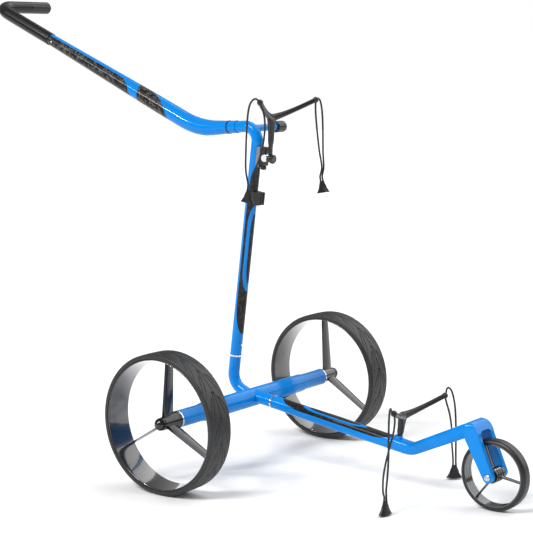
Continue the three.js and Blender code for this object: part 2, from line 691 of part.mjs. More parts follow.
/** Handle arm: a tapering bent tube that carries on inside the sleeve to the dial. */
function buildHandleArm() {
  const path = route([
    { at: handleStart },
    { at: handleCorner, radius: HANDLE_BEND_RADIUS },
    { at: sleeveStart },
  ], { step: 90, turnStep: 0.12 });
  const length = path.at(-1).travelled;
  const radii = [
    [0, HANDLE_ROOT_DIAMETER / 2], [HANDLE_LEVEL_RUN, HANDLE_BEND_DIAMETER / 2],
    [HANDLE_LEVEL_RUN * 2, HANDLE_BEND_DIAMETER / 2], [length, HANDLE_TIP_DIAMETER / 2],
  ];
  const round = (trim) => (at) => ({ wide: eased(radii, at) - trim, high: eased(radii, at) - trim });
  const outer = loft(path, round(0));
  const core = bar(route([
    { at: along(sleeveStart, slopeDirection, -20) },
    { at: gripCorner, radius: SLEEVE_BEND_RADIUS },
    { at: along(gripEnd, SIDE, -GAP) },
  ]), sleeveCore, { sides: BORE_SIDES });
  const hollow = loft(path.slice(1, -1), round(3), { sides: BORE_SIDES });
  const socket = bore(route([
    { at: along(handleStart, levelDirection, -2) },
    { at: along(handleStart, levelDirection, HANDLE_SPIGOT_LENGTH + 20) },
  ]), handleBore);
  const socketHollow = hollow.trimByPlane([levelDirection.x, 0, levelDirection.z],
    handleStart.dot(levelDirection) + HANDLE_SPIGOT_LENGTH + 4);
  const potWell = hole(potRadius + GAP, gripEnd.y - potSpan - GAP, gripEnd.y + 2)
    .translate([gripEnd.x, 0, gripEnd.z]);
  const body = outer.add(core).subtract(socket).subtract(socketHollow).subtract(potWell);
  piece(trolley, 'handle_arm', body, BLUE_PAINT);
}

function buildSleeve() {
  const corners = [
    { at: along(sleeveStart, slopeDirection, GAP) },
    { at: gripCorner, radius: SLEEVE_BEND_RADIUS },
    { at: gripEnd },
  ];
  const longer = [
    { at: along(sleeveStart, slopeDirection, -3) }, corners[1], { at: along(gripEnd, SIDE, 3) },
  ];
  const outer = bar(route(corners), SLEEVE_DIAMETER / 2);
  piece(trolley, 'hand_grip', outer.subtract(bore(route(longer), sleeveCore + GAP)), FOAM);
}

/** Speed dial on the grip's end, and the potentiometer that it turns. */
function buildSpeedDial() {
  const seam = gripEnd.y + GAP;
  const end = seam + DIAL_LENGTH;
  const radius = DIAL_DIAMETER / 2;
  const shaftReach = seam + DIAL_POCKET;
  const pot = rod(potRadius, gripEnd.y - potSpan, seam + 3).add(rod(3, seam, shaftReach));
  piece(trolley, 'speed_potentiometer', pot.translate([gripEnd.x, 0, gripEnd.z]), BLACK_PLASTIC);
  let dial = turned([
    [0, seam], [radius, seam], [radius, end - 5], [radius - 4, end], [0, end],
  ], 24);
  for (let i = 0; i < DIAL_FLUTES; i++) {
    const angle = (2 * Math.PI * i) / DIAL_FLUTES;
    const cutter = rod(1.3, seam + 6, end + 1, { chamfer: 0, sides: 6 });
    const reach = radius + 0.5;
    dial = dial.subtract(cutter.translate([reach * Math.cos(angle), 0, reach * Math.sin(angle)]));
  }
  const pocket = hole(potRadius + GAP, seam - 1, seam + 3 + GAP).add(hole(3 + GAP, seam, shaftReach + 1));
  dial = dial.subtract(pocket).translate([gripEnd.x, 0, gripEnd.z]);
  piece(trolley, 'speed_dial', dial, BLACK_PLASTIC);
}

function buildHandleRivet() {
  const at = along(sleeveStart, slopeDirection, -14);
  const face = HANDLE_TIP_DIAMETER / 2 + GAP;
  const body = turned([[0, 0], [2.6, 0], [2.6, 0.6], [1.6, 1.4], [0, 1.4]], PIN_SIDES);
  const head = body.rotate([180, 0, 0]).translate([at.x, -face, at.z]);
  piece(trolley, 'handle_rivet', head, STEEL);
}

// ---------------------------------------------------------------- upper cradle

const mastFront = MAST_DIAMETER / 2;
const plateFront = mastFront + PLATE_THICKNESS;
const barrelForward = plateFront + GAP + 3 + BARREL_DIAMETER / 2;

function buildBracket() {
  const saddle = alongZ(hole(mastFront + GAP, -60, 60, TUBE_SIDES));
  const plate = box(PLATE_THICKNESS + 5, PLATE_WIDTH, PLATE_LENGTH)
    .translate([mastFront - 5 + (PLATE_THICKNESS + 5) / 2, 0, 0])
    .subtract(saddle).translate([0, 0, HINGE_HEIGHT]);
  piece(trolley, 'bracket_plate', placed(plate, mastFrame), ALUMINIUM);
  const depth = barrelForward - plateFront;
  const seatBack = box(depth, 16, 34).translate([plateFront + GAP + depth / 2, 0, 0]);
  const topBlock = box(11, 15, 12).translate([plateFront + 7, 0, 16.2]);
  const barrelSpace = hole(BARREL_DIAMETER / 2 + GAP, -20, 20).translate([barrelForward, 0, 0]);
  const lockHole = alongZ(hole(KNOB_STUD_RADIUS + GAP, -20, -9)).translate([plateFront + 6.5, 0, 0]);
  const stemRoom = box(30, 40, 60).translate([barrelForward + 15.6, 0, 0]);
  const seat = seatBack.add(topBlock).subtract(barrelSpace).subtract(lockHole).subtract(stemRoom);
  piece(trolley, 'hinge_seat', placed(seat.translate([0, 0, HINGE_HEIGHT]), mastFrame), BLACK_PLASTIC);
}

const hingeFrame = () => {
  const frame = new THREE.Object3D();
  frame.position.copy(onMast(barrelForward, 0, HINGE_HEIGHT));
  frame.rotation.y = MAST_LEAN;
  return frame;
};

function buildSwivelBarrel() {
  const half = 9.5;
  const barrel = rod(BARREL_DIAMETER / 2, -half, half, { chamfer: 1 });
  const studHole = alongX(hole(KNOB_STUD_RADIUS + GAP, -2, 20));
  const flat = box(8, 30, 30).translate([BARREL_DIAMETER / 2 - 2.2 + 4, 0, 0]);
  piece(trolley, 'swivel_barrel', placed(barrel.subtract(studHole).subtract(flat), hingeFrame()), CHROME);
}

const stemBack = BARREL_DIAMETER / 2 - 2.2 + GAP; // forward of the barrel's middle
const stemDepth = 6;
const stemFront = stemBack + stemDepth;

function buildCradleKnob() {
  const knob = turned([
    [0, -1.5], [KNOB_STUD_RADIUS, -1.5], [KNOB_STUD_RADIUS, stemFront + GAP], [7, stemFront + GAP],
    [CRADLE_KNOB_DIAMETER / 2, stemFront + 2], [CRADLE_KNOB_DIAMETER / 2, stemFront + 6],
    [CRADLE_KNOB_DIAMETER / 2 - 2, stemFront + 8], [0, stemFront + 8],
  ]);
  piece(trolley, 'cradle_knob', placed(alongX(knob), hingeFrame()), BLACK_PLASTIC);
}

function buildLockKnob() {
  const knob = turned([
    [0, -26], [5, -26], [6.2, -24.5], [6.2, -19], [5.4, -18], [KNOB_STUD_RADIUS, -18],
    [KNOB_STUD_RADIUS, -11], [0, -11],
  ], BORE_SIDES);
  const frame = new THREE.Object3D();
  frame.position.copy(onMast(plateFront + 6.5, 0, HINGE_HEIGHT));
  frame.rotation.y = MAST_LEAN;
  piece(trolley, 'height_lock_knob', placed(alongZ(knob), frame), BLACK_PLASTIC);
}

/** A Y-shaped bag cradle: stem, two curved arms with ball tips and a web where they meet. */
function cradle({ foot, fork, tip, stemRadius }) {
  const stem = bar(route([{ at: foot }, { at: fork }]), stemRadius, { sides: PIN_SIDES });
  let body = stem;
  const webPoints = [ball(stemRadius * 0.9, along(fork, vec(0, 0, -1), 16), 12)];
  for (const hand of [-1, 1]) {
    const end = vec(tip.x, tip.y * hand, tip.z);
    const shoulder = vec(
      THREE.MathUtils.lerp(fork.x, tip.x, 0.22), hand * tip.y * 0.3,
      THREE.MathUtils.lerp(fork.z, tip.z, 0.12));
    const curve = new THREE.QuadraticBezierCurve3(fork, shoulder, end);
    const stations = [0, 0.2, 0.4, 0.65, 1].map((t) => ({
      point: curve.getPoint(t), ahead: curve.getTangent(t), travelled: t,
    }));
    const arm = loft(stations, (t) => ({
      wide: CRADLE_BAR / 2 + 0.8 * (1 - t), high: CRADLE_BAR / 2 + 0.5 * (1 - t), power: 2.5,
    }), { sides: 10, startSide: vec(1, 0, 0) });
    webPoints.push(ball(CRADLE_BAR * 0.45, curve.getPoint(0.13), 12));
    body = body.add(arm).add(ball(CRADLE_TIP_RADIUS, end));
  }
  return body.add(Manifold.hull(webPoints));
}

const upperFork = onMast(STEM_FORWARD, 0, HINGE_HEIGHT + STEM_LENGTH);
const upperTip = along(upperFork, vec(UPPER_ARM_FORWARD, CRADLE_HALF_SPAN, UPPER_ARM_RISE), 1);

function buildUpperCradle() {
  const eyeForward = barrelForward + (stemBack + stemFront) / 2;
  const foot = onMast(eyeForward, 0, HINGE_HEIGHT);
  const body = cradle({ foot, fork: upperFork, tip: upperTip, stemRadius: 5.3 });
  const eye = alongX(rod(8, stemBack, stemFront, { chamfer: 0.6 }));
  const studHole = alongX(hole(KNOB_STUD_RADIUS + GAP, -2, 40));
  const barrelRoom = box(20, 40, HINGE_ROOM_HEIGHT).translate([stemBack - 10, 0, 0]);
  const frontRoom = box(20, 40, 32).translate([stemFront + 10, 0, 0]);
  const whole = body.add(placed(eye, hingeFrame()))
    .subtract(placed(studHole.add(barrelRoom).add(frontRoom), hingeFrame()));
  piece(trolley, 'upper_cradle', whole, BLACK_PLASTIC);
}

// ---------------------------------------------------------------- things on the mast

function buildBumper() {
  const saddle = alongZ(hole(mastFront + GAP, -60, 60, TUBE_SIDES));
  let body = box(BUMPER_DEPTH + 8, BUMPER_WIDTH, BUMPER_LENGTH)
    .translate([mastFront - 8 + (BUMPER_DEPTH + 8) / 2, 0, 0]);
  for (const side of [-1, 0, 1]) {
    const ridge = alongZ(rod(2.6, -BUMPER_LENGTH / 2, BUMPER_LENGTH / 2, { sides: 12 }));
    body = body.add(ridge.translate([mastFront + BUMPER_DEPTH, side * (BUMPER_WIDTH / 2 - 2.6), 0]));
  }
  body = body.subtract(saddle).translate([0, 0, BUMPER_HEIGHT]);
  piece(trolley, 'mast_bumper', placed(body, mastFrame), BLACK_PLASTIC);
}

function buildAccessoryHolder() {
  const centre = onMast(-HOLDER_BACK, 0, HOLDER_HEIGHT);
  const at = [centre.x, 0, centre.z];
  const radius = HOLDER_DIAMETER / 2;
  const mastEnvelope = bar(route([
    { at: onMast(0, 0, MAST_LENGTH - 60) },
    { at: elbowCorner, radius: ELBOW_RADIUS },
    { at: couplingStart },
  ]), MAST_DIAMETER / 2 + GAP);
  const socket = hole(HOLDER_PLUG_RADIUS + GAP, HOLDER_REACH - HOLDER_PLUG_LENGTH - 2, HOLDER_REACH + 1);
  const stub = rod(radius, 0, HOLDER_REACH).subtract(socket).translate(at).subtract(mastEnvelope)
    .trimByPlane([0, 1, 0], 2);
  piece(trolley, 'accessory_holder', stub, BLUE_PAINT);
  const capStart = HOLDER_REACH + GAP;
  const capRadius = HOLDER_CAP_DIAMETER / 2;
  const cap = turned([
    [0, capStart - HOLDER_PLUG_LENGTH], [HOLDER_PLUG_RADIUS, capStart - HOLDER_PLUG_LENGTH],
    [HOLDER_PLUG_RADIUS, capStart], [capRadius - 1.5, capStart], [capRadius, capStart + 1.5],
    [capRadius, capStart + HOLDER_CAP_LENGTH - 3],
    [capRadius - 3, capStart + HOLDER_CAP_LENGTH], [0, capStart + HOLDER_CAP_LENGTH],
  ], 12);
  piece(trolley, 'accessory_cap', cap.translate(at), BLACK_PLASTIC);
  const screw = turned([[0, 0], [2, 0], [2, 2.2], [1.2, 3], [0, 3]], 12).rotate([-90, 0, 0])
    .translate([centre.x, HOLDER_REACH - 18, centre.z - radius - GAP]);
  piece(trolley, 'accessory_screw', screw, STEEL);
}

// ---------------------------------------------------------------- front arm, fork and wheel

const neckSpigot = 10;

function buildNeck() {
  const body = bar(route([{ at: neckOrigin }, { at: ringStart }]), NECK_DIAMETER / 2)
    .subtract(axleEnvelope());
  const tip = along(armStart, fallDirection, SPIGOT_LENGTH);
  const spigot = bar(route([{ at: along(neckOrigin, fallDirection, NECK_LENGTH - 10) }, { at: tip }]),
    neckSpigot);
  piece(trolley, 'front_neck', body.add(spigot), BLUE_PAINT);
  const from = along(ringStart, fallDirection, GAP);
  const to = along(from, fallDirection, JOINT_RING_WIDTH);
  const opening = bore(route([
    { at: along(from, fallDirection, -2) }, { at: along(to, fallDirection, 2) },
  ]), neckSpigot + GAP);
  const collar = bar(route([{ at: from }, { at: to }]), NECK_DIAMETER / 2 + 0.8);
  piece(trolley, 'arm_joint_ring', collar.subtract(opening), STEEL);
}

/** Front arm: round at the joint, a rounded box further on, flared at the fork's crown. */
function buildFrontArm() {
  const path = route([
    { at: armStart }, { at: armValley, radius: ARM_VALLEY_RADIUS }, { at: armEnd },
  ], { step: 60, turnStep: 0.15 });
  const length = path.at(-1).travelled;
  const widths = [[0, NECK_DIAMETER], [120, ARM_WIDTH], [length - 70, ARM_WIDTH + 2], [length, 34]];
  const heights = [[0, NECK_DIAMETER], [120, ARM_HEIGHT], [330, ARM_HEIGHT - 2], [length, ARM_HEIGHT + 1]];
  const powers = [[0, 2], [40, 2.1], [160, 4], [length, 5]];
  const section = (trim) => (at) => ({
    wide: eased(widths, at) / 2 - trim,
    high: eased(heights, at) / 2 - trim,
    power: eased(powers, at),
  });
  const outer = loft(path, section(0));
  const inner = loft(path.slice(2, -1), section(ARM_WALL), { sides: BORE_SIDES });
  const spigotHole = bore(route([
    { at: along(armStart, fallDirection, -2) },
    { at: along(armStart, fallDirection, SPIGOT_LENGTH + 75) },
  ]), neckSpigot + GAP);
  const crownRoom = box(80, 90, 200).translate([crownBackX - GAP + 40, 0, 140]);
  const socketFloor = lowerSocketTop - LOWER_SOCKET_DEPTH;
  const socketAt = [LOWER_SOCKET_X, 0, 0];
  const postRadius = LOWER_STEM_DIAMETER / 2 + 2.6;
  const socketPost = alongZ(rod(postRadius, socketFloor - 2, lowerSocketTop)).translate(socketAt);
  const socketBore = alongZ(hole(LOWER_PLUG_RADIUS + GAP, socketFloor, lowerSocketTop + 5))
    .translate(socketAt);
  const body = outer.subtract(inner).add(socketPost).subtract(spigotHole).subtract(socketBore)
    .subtract(crownRoom);
  piece(trolley, 'front_arm', body, BLUE_PAINT);
}

function buildFork() {
  const [wheelX, wheelZ, endRadius] = [FRONT_WHEEL_X, FRONT_WHEEL_RADIUS, FORK_END_RADIUS];
  const back = crownBackX;
  const profile = new THREE.Shape();
  profile.moveTo(back, crownTop - 32);
  profile.lineTo(wheelX - 0.85 * endRadius, wheelZ - 0.53 * endRadius);
  profile.absarc(wheelX, wheelZ, endRadius, Math.PI * 1.177, Math.PI * 2.14, false);
  profile.lineTo(back + 32, crownTop - 28);
  profile.quadraticCurveTo(back + 26, crownTop - 4, back + 10, crownTop);
  profile.lineTo(back + 3, crownTop - 1);
  profile.quadraticCurveTo(back, crownTop - 2, back, crownTop - 7);
  const side = slab(profile, FORK_WIDTH + 10);
  const half = FORK_WIDTH / 2;
  const slot = FORK_SLOT_WIDTH / 2;
  const front = new THREE.Shape();
  const foot = wheelZ - 2 * endRadius; // anywhere below the blades' ends
  front.moveTo(-half, foot);
  front.lineTo(-slot, foot);
  front.lineTo(-slot, archTop - 12);
  front.quadraticCurveTo(-slot, archTop, -slot + 12, archTop);
  front.lineTo(slot - 12, archTop);
  front.quadraticCurveTo(slot, archTop, slot, archTop - 12);
  front.lineTo(slot, foot);
  front.lineTo(half, foot);
  front.lineTo(half, crownTop - 14);
  front.quadraticCurveTo(half, crownTop + 1, half - 14, crownTop + 1);
  front.lineTo(-half + 14, crownTop + 1);
  front.quadraticCurveTo(-half, crownTop + 1, -half, crownTop - 14);
  const face = slab(front, 200).rotate([0, 0, 90]).translate([FRONT_WHEEL_X - 40, 0, 0]);
  const boltHole = hole(FRONT_BOLT_DIAMETER / 2 + GAP, -60, 60)
    .translate([wheelX, 0, wheelZ]);
  piece(trolley, 'front_fork', side.intersect(face).subtract(boltHole), BLUE_PAINT);
}

function buildFrontBolt() {
  const half = FORK_WIDTH / 2;
  const at = [FRONT_WHEEL_X, 0, FRONT_WHEEL_RADIUS];
  const bolt = turned([
    [0, -half - 3], [5, -half - 3], [6.5, -half - 2], [6.5, -half - GAP],
    [FRONT_BOLT_DIAMETER / 2, -half - GAP], [FRONT_BOLT_DIAMETER / 2, half + 5], [0, half + 5],
  ], BORE_SIDES);
  const hexKey = hexRod(4, -half - 4, -half - 1.5);
  piece(trolley, 'front_axle_bolt', bolt.subtract(hexKey).translate(at), STEEL);
  const nut = hexRod(12, half + GAP, half + 6)
    .subtract(hole(FRONT_BOLT_DIAMETER / 2 + GAP, half - 1, half + 8));
  piece(trolley, 'front_axle_nut', nut.translate(at), STEEL);
}

function buildFrontWheel() {
  const at = [FRONT_WHEEL_X, 0, FRONT_WHEEL_RADIUS];
  const rimRadius = FRONT_WHEEL_RADIUS - FRONT_TYRE_DEPTH - GAP;
  const treads = tyre(FRONT_WHEEL_RADIUS, FRONT_TYRE_DEPTH, FRONT_TYRE_WIDTH,
    { sides: FRONT_WHEEL_SIDES });
  piece(trolley, 'front_tyre', treads.translate(at), RUBBER);
  const shell = rim(rimRadius, FRONT_RIM_WALL, FRONT_TYRE_WIDTH - 1, FRONT_WHEEL_SIDES);
  piece(trolley, 'front_rim', shell.translate(at), BLACK_CARBON);
  const half = FORK_SLOT_WIDTH / 2 - 1.5;
  const radius = FRONT_HUB_DIAMETER / 2;
  const rimInner = rimRadius - FRONT_RIM_WALL;
  const spokeTip = rimInner * Math.cos(Math.PI / FRONT_WHEEL_SIDES) - GAP;
  const ribs = [];
  for (let y = -half + 3; y + 5 < half; y += 8) {
    ribs.push([radius, y], [radius, y + 3], [radius - 1.2, y + 4], [radius - 1.2, y + 7]);
  }
  let hub = turned([[0, -half], [radius - 1, -half], ...ribs, [radius - 1, half], [0, half]]);
  for (let i = 0; i < SPOKE_COUNT; i++) {
    const blade = spoke(8, spokeTip, FRONT_SPOKE_WIDTH + 4, FRONT_SPOKE_WIDTH,
      FRONT_SPOKE_THICKNESS, 0, 0);
    hub = hub.add(blade.rotate([0, (360 * i) / SPOKE_COUNT - 22, 0]));
  }
  hub = hub.subtract(hole(FRONT_BOLT_DIAMETER / 2 + 1.5 + 2 * GAP, -half - 1, half + 1));
  piece(trolley, 'front_hub_spokes', hub.translate(at), BLACK_CARBON);
  const bushInner = clearing(FRONT_BOLT_DIAMETER / 2 + 0.1, BORE_SIDES);
  const bush = ring(FRONT_BOLT_DIAMETER / 2 + 1.5 + GAP, bushInner, -half, half, BORE_SIDES);
  piece(trolley, 'front_wheel_bush', bush.translate(at), STEEL);
}

// ---------------------------------------------------------------- lower cradle

const lowerFork = vec(LOWER_SOCKET_X + LOWER_STEM_LEAN, 0,
  lowerSocketTop - LOWER_SOCKET_PROUD + LOWER_STEM_LENGTH);
const lowerTip = along(lowerFork, vec(LOWER_ARM_FORWARD, CRADLE_HALF_SPAN, LOWER_ARM_RISE), 1);

function buildLowerCradle() {
  const top = lowerSocketTop;
  const foot = vec(LOWER_SOCKET_X, 0, top + GAP + 3);
  const body = cradle({ foot, fork: lowerFork, tip: lowerTip, stemRadius: LOWER_STEM_DIAMETER / 2 });
  const shoulder = alongZ(rod(LOWER_STEM_DIAMETER / 2 + 1.4, top + GAP, top + 7));
  const plug = alongZ(rod(LOWER_PLUG_RADIUS, top - LOWER_SOCKET_DEPTH + 2, top + 6));
  const whole = body.add(shoulder.add(plug).translate([LOWER_SOCKET_X, 0, 0]));
  piece(trolley, 'lower_cradle', whole, BLACK_PLASTIC);
}

// ---------------------------------------------------------------- cords and hooks

// Each cord leaves a cradle's tip, hangs to its hook, turns inside it and climbs back to the tip.
const CORDS = [
  {
    name: 'upper_right', hook: { at: [98, -136, 586], yaw: 0, tilt: 8 },
    outward: [[101.9, -103.2, 790.6], [101.9, -110, 793.8], [101.4, -119, 792], [100.8, -128, 784],
      [100, -133.5, 768], [98.5, -136.5, 735], [96, -137, 690], [95, -136.5, 650]],
    back: [[105, -129, 640], [109, -114, 666], [111.5, -101, 700], [112.5, -95.5, 732],
      [111.5, -95, 756], [107.8, -95.6, 771], [105, -96, 779.8]],
  },
  {
    name: 'upper_left', hook: { at: [102, 124, 586], yaw: 0, tilt: -10 },
    outward: [[101.9, 103.8, 789.2], [102.6, 109.8, 786], [103, 115, 775], [103, 119.5, 750],
      [102, 122.5, 712], [101.5, 123.5, 672], [102.5, 124.5, 640]],
    back: [[99.5, 121.5, 640], [98.5, 114, 676], [99, 106, 716], [100, 99.5, 752],
      [101, 97, 770], [101.7, 96.5, 779.6]],
  },
  {
    name: 'lower_right', hook: { at: [446, -158, 3.5], yaw: 78, tilt: 0 },
    outward: [[425.5, -103, 190], [427.5, -109, 195], [432, -118, 201.5], [437, -129, 201],
      [441, -138, 186], [443.5, -143, 152], [446, -147, 112], [446.5, -151.5, 76], [446, -155, 48]],
    back: [[442, -159.5, 46], [438.5, -154, 72], [437.5, -143, 102], [437.5, -129, 130],
      [436, -113.5, 156], [431.5, -102.5, 174], [428.4, -98.7, 181.4]],
  },
  {
    name: 'lower_left', hook: { at: [424, 140, 3.5], yaw: 40, tilt: 0 },
    outward: [[425.5, 101.5, 191.5], [424.5, 105, 198.5], [425.5, 111, 201], [428, 118, 194],
      [430.5, 126, 170], [430, 133, 136], [428, 138, 98], [426.5, 141, 64]],
    back: [[422.5, 135, 56], [428, 122, 82], [432.5, 111.5, 122], [432, 104, 150],
      [428.8, 98.8, 170], [426.6, 97.2, 180.3]],
  },
];

// The turn inside a hook, as [across, up] in the hook's own frame.
const HOOK_TURN = [
  [2.9, 35], [3.1, 28], [4.6, 21], [7.4, 14], [7.9, 9.5], [5.7, 5], [0, 3.1],
  [-5.7, 5], [-7.9, 9.5], [-7.4, 14], [-4.6, 21], [-3.1, 28], [-2.9, 35],
];

function hookFrame({ at, yaw, tilt }) {
  const [x, y, z] = at;
  const { degToRad } = THREE.MathUtils;
  const frame = frameAt(x, y, z, { yaw: degToRad(yaw), pitch: degToRad(tilt) });
  frame.updateMatrixWorld(true);
  return frame;
}

function cordPoints({ outward, back, hook }) {
  const frame = hookFrame(hook);
  const down = vec(...outward.at(-1));
  const turn = HOOK_TURN.map(([across, up]) => frame.localToWorld(vec(across, 0, up)));
  if (down.distanceTo(turn[0]) > down.distanceTo(turn.at(-1))) turn.reverse();
  return [...outward.map((p) => vec(...p)), ...turn, ...back.map((p) => vec(...p))];
}

function buildCord(cord) {
  const curve = new THREE.CatmullRomCurve3(cordPoints(cord), false, 'centripetal');
  const section = new THREE.Shape();
  section.absarc(0, 0, CORD_DIAMETER / 2, 0, 2 * Math.PI);
  const geometry = new THREE.ExtrudeGeometry(section, {
    extrudePath: curve, steps: CORD_STEPS, bevelEnabled: false, curveSegments: CORD_SIDES / 2,
  });
  piece(trolley, `cord_${cord.name}`, solid(geometry), ELASTIC);
}

/** A triangular, bell-shaped plastic hook, open below and hollow for the cord's turn. */
function buildHook(cord) {
  const bell = (inset) => {
    const half = HOOK_WIDTH / 2 - inset;
    const thick = HOOK_DEPTH / 2 - inset;
    const top = 8 - inset;
    const levels = inset > 0 ? [-2, 4, 12, 20, HOOK_HEIGHT - 2.5] : [0, 4, 12, 20, HOOK_HEIGHT];
    const stations = levels.map((z) => ({ point: vec(0, 0, z), ahead: vec(0, 0, 1), travelled: z }));
    return loft(stations, (z) => {
      const t = THREE.MathUtils.clamp(z / HOOK_HEIGHT, 0, 1);
      return {
        wide: top + (half - top) * (1 - t) ** 1.1,
        high: THREE.MathUtils.lerp(thick, 5 - inset * 0.5, t), power: 2.6,
      };
    }, { sides: BORE_SIDES, startSide: vec(1, 0, 0) });
  };
  const mouth = box(13, 6, 16).translate([0, 0, HOOK_HEIGHT + 3]);
  const body = bell(0).subtract(bell(HOOK_WALL)).subtract(mouth);
  piece(trolley, `hook_${cord.name}`, placed(body, hookFrame(cord.hook)), BLACK_PLASTIC);
}

// ---------------------------------------------------------------- assembly

buildAxleTube();
buildRearEnd('left', 0);
buildRearEnd('right', Math.PI);
buildMastStub();
buildMastRing();
buildMastTube();
buildSnapButton();
buildCoupling();
buildHandleArm();
buildSleeve();
buildSpeedDial();
buildHandleRivet();
buildBracket();
buildSwivelBarrel();
buildCradleKnob();
buildLockKnob();
buildUpperCradle();
buildBumper();
buildAccessoryHolder();
buildNeck();
buildFrontArm();
buildFork();
buildFrontBolt();
buildFrontWheel();
buildLowerCradle();
for (const cord of CORDS) {
  buildCord(cord);
  buildHook(cord);
}

trolley.position.x = AXLE_AHEAD;

export default trolley;
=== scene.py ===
"""Three-wheel golf trolley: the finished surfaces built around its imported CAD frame."""

from __future__ import annotations

import json
import logging
import math
from dataclasses import dataclass, field
from enum import Enum
from typing import Callable, Iterable, Sequence, Union

import bmesh
import bpy
from mathutils import Matrix, Vector

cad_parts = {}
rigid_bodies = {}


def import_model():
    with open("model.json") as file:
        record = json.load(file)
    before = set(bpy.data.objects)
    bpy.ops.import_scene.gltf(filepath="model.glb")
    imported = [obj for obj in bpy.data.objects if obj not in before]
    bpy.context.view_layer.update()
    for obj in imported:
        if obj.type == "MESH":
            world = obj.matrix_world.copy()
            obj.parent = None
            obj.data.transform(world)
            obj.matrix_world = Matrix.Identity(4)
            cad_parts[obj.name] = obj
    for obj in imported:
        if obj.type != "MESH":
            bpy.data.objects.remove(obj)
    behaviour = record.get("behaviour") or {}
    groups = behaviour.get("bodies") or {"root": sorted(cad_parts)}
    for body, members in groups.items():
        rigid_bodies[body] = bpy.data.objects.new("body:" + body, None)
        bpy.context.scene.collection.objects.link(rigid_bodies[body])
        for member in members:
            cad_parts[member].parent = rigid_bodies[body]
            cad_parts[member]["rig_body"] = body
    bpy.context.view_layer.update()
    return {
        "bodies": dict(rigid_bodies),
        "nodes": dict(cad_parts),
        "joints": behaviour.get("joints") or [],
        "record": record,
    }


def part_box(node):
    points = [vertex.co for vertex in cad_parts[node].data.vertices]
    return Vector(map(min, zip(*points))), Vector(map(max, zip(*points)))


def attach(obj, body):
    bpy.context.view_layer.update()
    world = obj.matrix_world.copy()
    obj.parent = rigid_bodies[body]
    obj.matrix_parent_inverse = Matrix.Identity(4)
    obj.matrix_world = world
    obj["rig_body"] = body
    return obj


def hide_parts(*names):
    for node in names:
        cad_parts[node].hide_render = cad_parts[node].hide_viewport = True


LOG = logging.getLogger("trolley")
WELD = 1e-6  # corners closer than this are one corner
CREASE = 32.0  # edges that turn by more than this many degrees stay sharp
FINE_CREASE = 24.0  # the same on pieces with shallow edges
MOULDED_CREASE = 75.0  # the same on pieces that are melted together
SIDES = ("right", "left")
ACROSS = Vector((0.0, 1.0, 0.0))  # the way that the axles run
UP = Vector((0.0, 0.0, 1.0))
AHEAD = Vector((1.0, 0.0, 0.0))
WHITE = (1.0, 1.0, 1.0, 1.0)
MIX_FIRST, MIX_SECOND, MIX_RESULT = 6, 7, 2  # a Mix node's sockets for colours

Colour = tuple[float, float, float]
Value = Union[float, int, "Socket"]


# ---------------------------------------------------------------- node trees


class Socket:
    """A node's output that Python expressions can be written on."""

    def __init__(self, sheet: "NodeSheet", link: bpy.types.NodeSocket) -> None:
        """Keeps the output and the sheet that it is on."""
        self.sheet = sheet
        self.link = link

    def _maths(self, operation: str, *values: Value) -> "Socket":
        """Adds one Math node and gives back its result."""
        inputs = dict(enumerate(values))
        return self.sheet.add("ShaderNodeMath", {"operation": operation}, inputs)

    def __add__(self, other: Value) -> "Socket":
        """self + other."""
        return self._maths("ADD", self, other)

    def __radd__(self, other: Value) -> "Socket":
        """other + self."""
        return self._maths("ADD", other, self)

    def __sub__(self, other: Value) -> "Socket":
        """self - other."""
        return self._maths("SUBTRACT", self, other)

    def __rsub__(self, other: Value) -> "Socket":
        """other - self."""
        return self._maths("SUBTRACT", other, self)

    def __mul__(self, other: Value) -> "Socket":
        """self * other."""
        return self._maths("MULTIPLY", self, other)

    def __truediv__(self, other: Value) -> "Socket":
        """self / other."""
        return self._maths("DIVIDE", self, other)

    def __pow__(self, other: Value) -> "Socket":
        """self to the power of other."""
        return self._maths("POWER", self, other)

    def __abs__(self) -> "Socket":
        """The size of self."""
        return self._maths("ABSOLUTE", self)

    def at_least(self, other: Value) -> "Socket":
        """The larger of the two."""
        return self._maths("MAXIMUM", self, other)

    def fraction(self) -> "Socket":
        """What is left over whole numbers."""
        return self._maths("FRACT", self)

    def angle_to(self, other: "Socket") -> "Socket":
        """The angle whose height is self and whose base is other."""
        return self._maths("ARCTAN2", self, other)

    def rise(self, start: float, end: float) -> "Socket":
        """0 before start, 1 after end, and smooth between them."""
        return self.sheet.add(
            "ShaderNodeMapRange",
            {"interpolation_type": "SMOOTHSTEP"},
            {"Value": self, "From Min": start, "From Max": end},
        )


